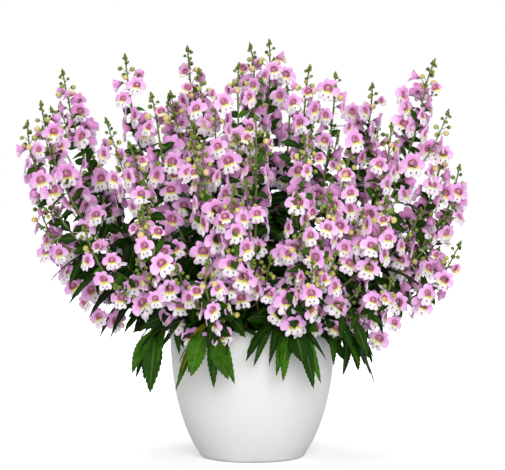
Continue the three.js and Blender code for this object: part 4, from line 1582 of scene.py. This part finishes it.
def bud_parts(stem, blanks, draws, oldest=1.0):
    """Buds from the tip down to the first flower, and the cluster of tiny ones at the tip itself."""
    parts = []
    start = draws.turn()
    first, last = BUD_ZONE
    count = int((last - first) / BUD_PITCH)
    for i in range(count):
        age = i / (count - 1) * oldest
        distance = stem.line.length - first - (i + draws.either_way(BUD_SLIDE)) * BUD_PITCH
        angle = start + i * GOLDEN_ANGLE + draws.either_way(BUD_SWING)
        _, tangent, _, radial = stem.around(distance, angle)
        radius = lerp(*BUD_RADIUS, age) * draws.between(*BUD_SIZES)
        axis = unit(radial + tangent * BUD_RISE)
        root = stem.skin(distance)
        heart = root + axis * lerp(*BUD_STALK, age) * draws.between(*BUD_STALK_SIZES)
        nod = unit(radial + UP * draws.either_way(BUD_NOD))
        points = set_down(blanks["bud"], heart, *square_to(nod, UP), nod, radius)
        number = min(int(age * BUD_AGES), BUD_AGES - 1)
        parts.append(blanks["bud"].copy(points, SPIKE_TILES, number, number / (BUD_AGES - 1)))
        bend = np.linalg.norm(heart - root) * PEDICEL_BEND
        corners = (root, root + axis * bend, heart - nod * bend, heart - nod * radius * BUD_SINK)
        line = Line(bezier(corners, BUD_PEDICEL_PARTS))
        parts.append(stalk(blanks["pedicel"], line, BUD_PEDICEL, SPIKE_TILES))
        parts.append(bract(root, radial, tangent, draws.between(*BUD_BRACTS), blanks))
    for i in range(TIP_BUDS):
        share = i / (TIP_BUDS - 1)
        distance = stem.line.length - TIP_CLUSTER * share
        _, tangent, _, radial = stem.around(distance, start - i * GOLDEN_ANGLE)
        axis = unit(radial * lerp(*TIP_LEANS, share) + tangent)
        heart = stem.skin(distance) + axis * lerp(*TIP_OFFSETS, share)
        size = lerp(*TIP_RADIUS, share) * draws.between(*TIP_SIZES)
        points = set_down(blanks["tip_bud"], heart, *square_to(axis, radial), axis, size)
        parts.append(blanks["tip_bud"].copy(points, SPIKE_TILES))
    return parts


def branches(stem, draws, count, starts, lengths):
    """Young racemes that branch off a stem and grow up beside it."""
    grown = []
    for _ in range(count):
        distance = max(stem.line.length - draws.between(*starts), LOWEST_BRANCH)
        length = draws.between(*lengths)
        _, tangent, _, radial = stem.around(distance, draws.either_way(BRANCH_TURN))
        root = stem.skin(distance)
        tip = root + unit(tangent + UP * BRANCH_RISE + radial * draws.between(*BRANCH_SPREADS)) * length
        away = root + unit(tangent * BRANCH_LEAVING + radial) * length * BRANCH_BEND
        lean = unit(tip - root + UP * length)
        corners = (root, away, tip - lean * length * BRANCH_BEND, tip)
        grown.append(Stem(root - tangent * BRANCH_ROOT, corners))
    return grown


def keeps_off_pot(leaf):
    """Whether a leaf's middle line stays clear of the pot's wall and of the soil."""
    shares = np.linspace(0.1, 1, CLEARANCE_STEPS)[:, None]
    line = leaf["root"] + leaf["direction"] * leaf["length"] * shares
    line = line - UP * leaf["droop"] * leaf["length"] * shares**2
    across = np.hypot(line[:, 0], line[:, 1])
    rise = line[:, 2]
    outer = POT_RIM_RADIUS + LEAF_CLEARANCE
    inner = POT_RIM_RADIUS - POT_WALL - LEAF_CLEARANCE
    in_wall = (across > inner) & (across < outer) & (rise < POT_HEIGHT + LEAF_CLEARANCE)
    in_soil = (across < outer) & (rise < SOIL_CROWN + LEAF_CLEARANCE)
    return not np.any(in_wall | in_soil)


def paired_leaf(stem, distance, angle, share, draws):
    """A leaf of a pair, whose face turns outward, up, and to the front or the back."""
    _, tangent, level, radial = stem.around(distance, angle + draws.either_way(PAIR_SWING))
    depth = np.array([0, math.copysign(PAIR_FACE_DEPTH, level[1]), 0])
    face = level * PAIR_FACE_LEVEL + UP * PAIR_FACE_RISE + depth
    rise = tangent * draws.between(*PAIR_RISES)
    leaf = {
        "root": stem.skin(distance),
        "direction": unit(radial + rise + UP * draws.between(0, PAIR_LIFT)),
        "length": lerp(*PAIR_LENGTH, share**PAIR_TAPER) * draws.between(*PAIR_SIZES),
        "width": lerp(*PAIR_WIDTH, share**PAIR_TAPER) * draws.between(*PAIR_WIDTHS),
        "droop": draws.between(*PAIR_DROOPS),
        "face": unit(face + radial * draws.either_way(PAIR_FACE_SWING)),
        "twist": draws.either_way(PAIR_TWIST),
        # Leaves low on the stem get painted shade: tints towards the shaded green
        "youth_and_light": share**2,
    }
    if distance > stem.line.length - stem.raceme and np.dot(radial, level) > 0:
        leaf["length"] *= PAIR_AMONG_FLOWERS
    return leaf


def leaf_pairs(stem, draws, pitch):
    """Pairs of leaves that fill a stem from above the soil up into its raceme."""
    leaves = []
    top = stem.line.length - stem.raceme + PAIRS_INTO_RACEME
    distance = STEM_DEPTH + PAIRS_FROM
    turn = draws.turn()
    while distance < top:
        for half in (0, math.pi):
            leaves.append(paired_leaf(stem, distance, turn + half, distance / top, draws))
        turn += math.pi / 2
        distance += pitch * draws.between(*PAIR_PITCHES)
    return [leaf for leaf in leaves if keeps_off_pot(leaf)]


def joined(parts, name):
    select_only(*parts)
    bpy.ops.object.join()
    piece = bpy.context.object
    piece.name = name
    piece.data.name = name
    return piece


def settle(piece, node):
    """Seats a finished piece in the frame, in place of its solid."""
    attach(piece, "root")
    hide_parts(node)


def grown_from_disc(name, sides, stations):
    """A closed round shape: a disc at the first radius and rise, drawn through all the others."""
    (radius, rise), *rest = stations
    bpy.ops.object.select_all(action="DESELECT")
    foot = (0, 0, rise)
    bpy.ops.mesh.primitive_circle_add(vertices=sides, radius=radius, fill_type="NGON", location=foot)
    thing = bpy.context.object
    thing.name = name
    bpy.ops.object.transform_apply(location=True)
    bpy.ops.object.mode_set(mode="EDIT")
    bpy.ops.mesh.select_all(action="SELECT")
    for out, height in rest:
        bpy.ops.mesh.extrude_region_move(TRANSFORM_OT_translate={"value": (0, 0, height - rise)})
        bpy.ops.transform.resize(value=(out / radius, out / radius, 1), center_override=(0, 0, height))
        radius, rise = out, height
    bpy.ops.mesh.select_all(action="SELECT")
    bpy.ops.mesh.normals_make_consistent(inside=False)
    bpy.ops.object.mode_set(mode="OBJECT")
    return thing


def look_at(thing, place):
    """Turns a camera or a light to a place."""
    aim = Vector(place) - thing.location
    thing.rotation_euler = aim.to_track_quat("-Z", "Y").to_euler()


class ANGELONIA_OT_stage(bpy.types.Operator):
    """Set up the camera, the lights and the floor"""

    bl_idname = "angelonia.stage"
    bl_label = "Stage"

    def execute(self, context):
        stage = context.scene.angelonia_stage
        scene = context.scene
        bpy.ops.object.select_all(action="DESELECT")
        bpy.ops.object.camera_add(location=(0, -stage.distance, stage.height))
        camera = context.object
        camera.name = "camera"
        camera.data.lens = stage.lens
        camera.data.sensor_width = SENSOR_WIDTH
        look_at(camera, (0, 0, stage.aim))
        scene.camera = camera
        self.light("key", KEY_PLACE, KEY_SIZE, stage.key_power)
        self.light("top", TOP_PLACE, TOP_SIZE, stage.top_power)
        self.surround(scene, stage.surround)
        self.floor()
        scene.view_settings.view_transform = "Standard"
        return {"FINISHED"}

    def light(self, name, place, size, power):
        bpy.ops.object.light_add(type="AREA", location=place)
        light = bpy.context.object
        light.name = name
        light.data.shape = "DISK"
        light.data.size = size
        light.data.energy = power
        look_at(light, LIGHTS_AIM)

    def surround(self, scene, strength):
        """White surroundings, which the camera sees at full strength."""
        world = bpy.data.worlds.new("studio")
        scene.world = world
        world.use_nodes = True
        nodes, links = world.node_tree.nodes, world.node_tree.links
        ray = nodes.new("ShaderNodeLightPath")
        level = nodes.new("ShaderNodeMapRange")
        level.inputs["To Min"].default_value = strength
        links.new(ray.outputs["Is Camera Ray"], level.inputs["Value"])
        nodes["Background"].inputs["Color"].default_value = (1, 1, 1, 1)
        links.new(level.outputs["Result"], nodes["Background"].inputs["Strength"])

    def floor(self):
        """A white floor that runs into the white surroundings behind it."""
        bpy.ops.object.select_all(action="DESELECT")
        bpy.ops.mesh.primitive_plane_add(size=FLOOR_SIZE)
        floor = bpy.context.object
        floor.name = "floor"
        sockets = {"Roughness": 0.8, "Base Color": FLOOR_WHITE, "Emission Color": (1.0, 1.0, 1.0)}
        finish = Finish("floor", sockets)
        away = finish.add("VectorMath", {0: finish.place()}, output=1, operation="LENGTH")
        seen = finish.add("LightPath", {}, output="Is Camera Ray")
        glow = finish.math("MULTIPLY_ADD", finish.step(away, *FLOOR_FADE), 0.6, 0.4)
        finish.set("Emission Strength", finish.product(glow, seen))
        floor.data.materials.append(finish.material)
        floor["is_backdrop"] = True


def pot_wall(rim_height, steps):
    """Radius and height of the pot's outer wall, from its heel to its rim."""
    heel = (POT_HEEL_RADIUS, POT_HEEL_HEIGHT)
    return bezier([heel, POT_BULGE_LOW, POT_BULGE_HIGH, (POT_RIM_RADIUS, rim_height)], steps)


class ANGELONIA_OT_pot(bpy.types.Operator):
    """Model the white pot"""

    bl_idname = "angelonia.pot"
    bl_label = "Pot"

    def execute(self, context):
        pot = context.scene.angelonia_pot
        lip_height = POT_HEIGHT - POT_LIP
        wall = pot_wall(lip_height, POT_STEPS)
        half = POT_WALL / 2
        middle = POT_RIM_RADIUS - half
        angles = np.linspace(0, math.pi, POT_LIP_STEPS + 1)[1:-1]
        lip = [(middle + math.cos(a) * half, lip_height + math.sin(a) * POT_LIP) for a in angles]
        floor = POT_WALL + POT_HEEL_HEIGHT
        stations = [
            *[(POT_FOOT_RADIUS + out, rise) for out, rise in POT_FOOT_EDGE],
            *wall,
            *lip,
            *[(x - POT_WALL, y) for x, y in wall[::-1] if y > floor + POT_FLOOR_ROOM],
            (POT_HEEL_RADIUS - POT_WALL, floor),
        ]
        piece = grown_from_disc("satin_pot", pot.sides, stations)
        piece.data.materials.append(pot_finish(pot))
        bpy.ops.object.shade_smooth_by_angle(angle=POT_SMOOTH_ANGLE)
        settle(piece, "pot")
        return {"FINISHED"}


class ANGELONIA_OT_soil(bpy.types.Operator):
    """Model the crumbly peat in the pot"""

    bl_idname = "angelonia.soil"
    bl_label = "Soil"

    def execute(self, context):
        pot = context.scene.angelonia_pot
        body = self.body(pot)
        material = peat_finish(pot)
        body.data.materials.append(material)
        parts = [body, *self.crumbs(pot, material)]
        piece = joined(parts, "peat_soil")
        bpy.ops.object.shade_smooth_by_angle(angle=SOIL_SMOOTH_ANGLE)
        settle(piece, "soil")
        return {"FINISHED"}

    def body(self, pot):
        """The filling of the pot, a disc that is drawn up the wall and over the top to the middle."""
        floor = POT_WALL + POT_HEEL_HEIGHT + SEAT_GAP
        wall = [(x - SOIL_INSET, y) for x, y in pot_wall(POT_HEIGHT, SOIL_STEPS)]
        sides = [(x, y) for x, y in wall if floor + SOIL_CORNER < y < SOIL_TOP - SOIL_CORNER]
        radii = np.linspace(SOIL_EDGE, SOIL_MIDDLE, SOIL_RINGS)
        rings = [(radius, self.mound(radius)) for radius in radii]
        edge = (SOIL_EDGE, SOIL_TOP - SOIL_EDGE_SINK)
        stations = [(POT_HEEL_RADIUS - SOIL_INSET, floor), *sides, edge, *rings]
        body = grown_from_disc("peat", SOIL_SIDES, stations)
        points = points_of(body)
        inner = np.hypot(points[:, 0], points[:, 1]) < SOIL_EDGE - SOIL_EDGE_BAND
        for i in np.flatnonzero(inner & (points[:, 2] > SOIL_TOP - SOIL_EDGE_BAND)):
            lift = noise.fractal(Vector(points[i]) * PEAT_SCALE, *PEAT_RELIEF)
            points[i, 2] += lift * pot.crumb_height
        move_points(body, points)
        return body

    def mound(self, radius):
        """Height of the surface at a radius."""
        edge = POT_RIM_RADIUS - POT_WALL
        share = clamped((edge - radius) / (edge - SOIL_CROWN_RADIUS), 0, 1)
        return lerp(SOIL_TOP, SOIL_CROWN - SOIL_CROWN_SINK, share * (2 - share))

    def crumbs(self, pot, material):
        """Loose crumbs, each a small lump that lies half sunk in the surface."""
        bpy.ops.object.select_all(action="DESELECT")
        bpy.ops.mesh.primitive_ico_sphere_add(subdivisions=2, radius=1, calc_uvs=False)
        lump = bpy.context.object
        points = points_of(lump)
        swell = [1 + CRUMB_SWELL * noise.noise(Vector(point) * CRUMB_LUMPS) for point in points]
        move_points(lump, points * np.array(swell)[:, None])
        lump.data.materials.append(material)
        draws = Draws(CRUMB_SEED)
        crumbs = []
        for _ in range(pot.crumbs):
            radius = CRUMB_REACH * math.sqrt(draws.next())
            angle = draws.turn()
            size = draws.between(*CRUMB_SIZES)
            crumb = lump.copy()
            crumb.data = lump.data.copy()
            bpy.context.collection.objects.link(crumb)
            turn = Matrix.Rotation(draws.turn(), 4, (draws.next(), draws.next(), CRUMB_AXIS_RISE))
            spot = (radius * math.cos(angle), radius * math.sin(angle), self.mound(radius))
            scale = Matrix.Diagonal((*(size * share for share in CRUMB_SHAPE), 1))
            crumb.data.transform(Matrix.Translation(spot) @ scale @ turn)
            crumbs.append(crumb)
        bpy.data.objects.remove(lump)
        return crumbs


class ANGELONIA_OT_flowering_stems(bpy.types.Operator):
    """Model the flowering stems, each with its flowers, buds and leaves"""

    bl_idname = "angelonia.flowering_stems"
    bl_label = "Flowering stems"

    def execute(self, context):
        self.reach = context.scene.angelonia_flowers.reach
        self.pitch = context.scene.angelonia_foliage.pair_pitch
        self.blanks = self.modelled_blanks(context.scene.angelonia_flowers, context.scene.angelonia_foliage)
        self.taken = []
        shoot_roots = [shoot["root"][:2].tolist() for shoot in shoot_places()]
        tips = tip_places()
        stems = grown_stems(root_places(tips, shoot_roots), tips)
        fill = outline_flowers(stems[:len(FRONT_TIPS)])
        plans = [self.as_built(stem, i) for i, stem in enumerate(stems)]
        for i, (stem, tip, plan) in enumerate(zip(stems, tips, plans)):
            extra = [flower for number, flower in fill if number == i]
            parts = self.dressed(stem, tip, plan, extra, i)
            settle(joined(parts, f"angelonia_spike_{i + 1:02d}"), plan["node"])
        return {"FINISHED"}

    def modelled_blanks(self, flowers, foliage):
        leaf = leaf_finish(foliage)
        bud = bud_finish(flowers)
        petals = [PetalFace(flowers).material, petal_back_finish(flowers), calyx_finish()]
        stem = stalk_finish("stem", foliage, warm=0.0)
        side = stalk_finish("side_stem", foliage, warm=0.0)
        pedicel = stalk_finish("pedicel", foliage, warm=0.55)
        return {
            "florets": floret_blanks(petals),
            "bud": bud_blank("bud", sides=7, rows=BUD_ROWS, material=bud),
            "tip_bud": bud_blank("tip_bud", sides=5, rows=TIP_BUD_ROWS, material=bud),
            "stem": stalk_blank("stem", sides=7, rows=26, material=stem, kind="stem"),
            "side": stalk_blank("side_stem", sides=5, rows=12, material=side, kind="stem"),
            "pedicel": stalk_blank("pedicel", sides=3, rows=5, material=pedicel, kind="pedicel"),
            "bract": bract_blank(leaf),
            "leaf": leaf_blank("leaf", across=2, along=10, teeth_depth=0.12, bunching=1.0, material=leaf),
        }

    def as_built(self, stem, i):
        """The flower places and the leaves of a stem, where its solid has them."""
        draws = Draws(SEED + i)
        start = draws.turn()
        places = flower_places(stem, start, self.taken)
        bud_count, leaf_count = SOLID_FRONT if i < len(FRONT_TIPS) else SOLID_BACK
        # The solid draws once for each of its buds
        for _ in range(bud_count):
            draws.next()
        node = f"flowering_stem_{i + 1:02d}"
        leaves = stem_leaves(stem, draws, leaf_count)
        leaves = [turned_as_built(leaf, LEAF_TURNS, node) for leaf in leaves]
        return {"node": node, "start": start, "places": places, "leaves": leaves}

    def dressed(self, stem, tip, plan, extra, i):
        """All the parts of a stem's piece."""
        draws = Draws(DRESSING_SEED + i)
        stem.nod(draws.turn(), draws.next() * NOD_REACH)
        flowers = [flower for flower in plan["places"] if stays(flower, tip, draws)]
        flowers += young_flowers(stem, plan["start"], self.taken)
        flowers += extra
        low_at_side = tip[2] < SIDE_LOWEST_TIP and abs(tip[0]) > SIDE_WIDEST_TIP
        sides = branches(stem, draws, 0 if low_at_side else 1 + i % 2, SIDE_START, SIDE_LENGTH)
        sprigs = branches(stem, draws, 1, SPRIG_START, SPRIG_LENGTH)
        petal_tints = [draws.next() for _ in range(PETAL_TINTS)]
        leaf_tints = sorted(draws.next() * FRESHEST_TINT for _ in range(SPIKE_LEAF_TINTS))
        parts = [stalk(self.blanks["stem"], stem.smooth, STEM_RADII, SPIKE_TILES)]
        parts += self.florets(stem, flowers, draws, petal_tints)
        parts += bud_parts(stem, self.blanks, draws)
        for side in sides:
            parts += self.branch(side, draws, SIDE_RADII, SIDE_AGES)
            side.raceme = side.line.length - SIDE_BARE_TIP
            flowers = flower_places(side, draws.turn(), self.taken)[:SIDE_FLOWERS]
            parts += self.florets(side, flowers, draws, petal_tints)
        for leaf in plan["leaves"] + leaf_pairs(stem, draws, self.pitch):
            # Low leaves take tints towards the shaded green, which is painted shade; high ones the fresh
            # green
            youth_and_light = lerp(draws.next(), leaf.get("youth_and_light", LEAF_YOUTH_AND_LIGHT), YOUTH_AND_LIGHT_BY_PLACE)
            number = int(youth_and_light * SPIKE_LEAF_TINTS * 0.999)
            parts.append(blade(self.blanks["leaf"], leaf, SPIKE_TILES, number, leaf_tints[number]))
        for sprig in sprigs:
            parts += self.branch(sprig, draws, SPRIG_RADII, SPRIG_AGES)
        return parts

    def florets(self, stem, flowers, draws, tints):
        parts = []
        for flower in flowers:
            parts += floret_parts(stem, flower, self.blanks, self.reach, draws, tints)
        return parts

    def branch(self, branch, draws, radii, ages):
        """The stalk and the buds of a branch."""
        stem = stalk(self.blanks["side"], branch.smooth, radii, SPIKE_TILES)
        return [stem, *bud_parts(branch, self.blanks, draws, draws.between(*ages))]


class ANGELONIA_OT_leafy_shoots(bpy.types.Operator):
    """Model the leafy shoots that hang over the rim"""

    bl_idname = "angelonia.leafy_shoots"
    bl_label = "Leafy shoots"

    def execute(self, context):
        foliage = context.scene.angelonia_foliage
        brown = stalk_finish("shoot", foliage, warm=0.1)
        stem = stalk_blank("shoot", sides=6, rows=12, material=brown, kind="stem")
        green = leaf_finish(foliage)
        large = leaf_blank("large_leaf", across=4, along=24, teeth_depth=0.11, bunching=0.6, material=green)
        for i, shoot in enumerate(shoot_places()):
            draws = Draws(SHOOT_SEED + i)
            node = f"leafy_shoot_{i + 1}"
            leaves = [turned_as_built(leaf, SHOOT_LEAF_TURNS, node) for leaf in shoot_leaves(shoot, i)]
            leaves += self.upper_leaves(shoot, draws)
            leaves += self.hanging_leaves(shoot, draws)
            if i == LONG_LEAF_SHOOT:
                leaves.append(self.long_leaf(shoot))
            parts = [stalk(stem, shoot["line"], SHOOT_RADII, SHOOT_TILES)]
            tints = [draws.between(*SHOOT_LEAF_TINTS) for _ in leaves]
            if i == OLD_LEAF[0]:
                tints[OLD_LEAF[1]] = 1.0
            for number, leaf in enumerate(leaves):
                if "face" not in leaf:
                    leaf["twist"] = draws.either_way(SHOOT_LEAF_TWIST)
                    leaf["face"] = unit(shoot["level"] * SHOOT_FACE_LEVEL + UP * SHOOT_FACE_RISE)
                parts.append(blade(large, leaf, SHOOT_TILES, number, tints[number]))
            settle(joined(parts, f"angelonia_shoot_{i + 1}"), node)
        return {"FINISHED"}

    def direction(self, shoot, fan, rise):
        """A direction fanned out from the way the shoot points."""
        return unit(shoot["level"] + np.cross(shoot["level"], UP) * fan + UP * rise)

    def long_leaf(self, shoot):
        fan, length, droop = LONG_LEAF
        return {
            "root": shoot["line"].at(shoot["line"].length)[0],
            "direction": self.direction(shoot, fan, HANGING_RISE),
            "length": length,
            "width": SHOOT_LEAF_WIDTH,
            "droop": droop,
            "face": UP,
        }

    def upper_leaves(self, shoot, draws):
        """Leaves that stand up and out over the shoot's hanging ones."""
        line = shoot["line"]
        leaves = []
        for i in range(UPPER_LEAVES):
            fan = draws.either_way(UPPER_FAN)
            leaves.append({
                "root": line.at(line.length * lerp(*UPPER_ROOTS, i / UPPER_LEAVES))[0],
                "direction": self.direction(shoot, fan, draws.between(*UPPER_RISES)),
                "length": draws.between(*UPPER_LENGTHS),
                "width": draws.between(*UPPER_WIDTHS),
                "droop": draws.between(*UPPER_DROOPS),
                "swerve": draws.either_way(UPPER_SWERVE),
            })
        return [leaf for leaf in leaves if keeps_off_pot(leaf)]

    def hanging_leaves(self, shoot, draws):
        """Short leaves that hang at the shoot's end."""
        line = shoot["line"]
        leaves = []
        for i in range(HANGING_LEAVES):
            fan = lerp(-1, 1, i / (HANGING_LEAVES - 1)) + draws.either_way(HANGING_FAN)
            leaves.append({
                "root": line.at(line.length * draws.between(*HANGING_ROOTS))[0],
                "direction": self.direction(shoot, fan, HANGING_RISE),
                "length": draws.between(*HANGING_LENGTHS),
                "width": draws.between(*HANGING_WIDTHS),
                "droop": draws.between(*HANGING_DROOPS),
                "swerve": draws.either_way(HANGING_SWERVE),
            })
        return [leaf for leaf in leaves if keeps_off_pot(leaf)]


class ANGELONIA_PT_sidebar(bpy.types.Panel):
    """Sizes, colours and pieces of the potted angelonia"""

    bl_label = "Potted Angelonia"
    bl_space_type = "VIEW_3D"
    bl_region_type = "UI"
    bl_category = "Angelonia"

    def draw(self, context):
        for name in GROUPS:
            group = getattr(context.scene, name)
            box = self.layout.box()
            for key in group.__annotations__:
                box.prop(group, key)
        for operator in OPERATORS:
            self.layout.operator(operator.bl_idname)


GROUPS = {
    "angelonia_stage": AngeloniaStage,
    "angelonia_pot": AngeloniaPot,
    "angelonia_flowers": AngeloniaFlowers,
    "angelonia_foliage": AngeloniaFoliage,
}
OPERATORS = (
    ANGELONIA_OT_stage,
    ANGELONIA_OT_pot,
    ANGELONIA_OT_soil,
    ANGELONIA_OT_flowering_stems,
    ANGELONIA_OT_leafy_shoots,
)
CLASSES = (*GROUPS.values(), *OPERATORS, ANGELONIA_PT_sidebar)


def register():
    for made in CLASSES:
        bpy.utils.register_class(made)
    for name, group in GROUPS.items():
        setattr(bpy.types.Scene, name, PointerProperty(type=group))


def unregister():
    for name in GROUPS:
        delattr(bpy.types.Scene, name)
    for made in reversed(CLASSES):
        bpy.utils.unregister_class(made)


def main():
    register()
    bpy.ops.angelonia.stage()
    bpy.ops.angelonia.pot()
    bpy.ops.angelonia.soil()
    bpy.ops.angelonia.flowering_stems()
    bpy.ops.angelonia.leafy_shoots()
    boxes = {"cad": cad_box, "visual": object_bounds()}
    sizes = {name: [list(corner) for corner in box] for name, box in boxes.items()}


if __name__ == "__main__":
    main()
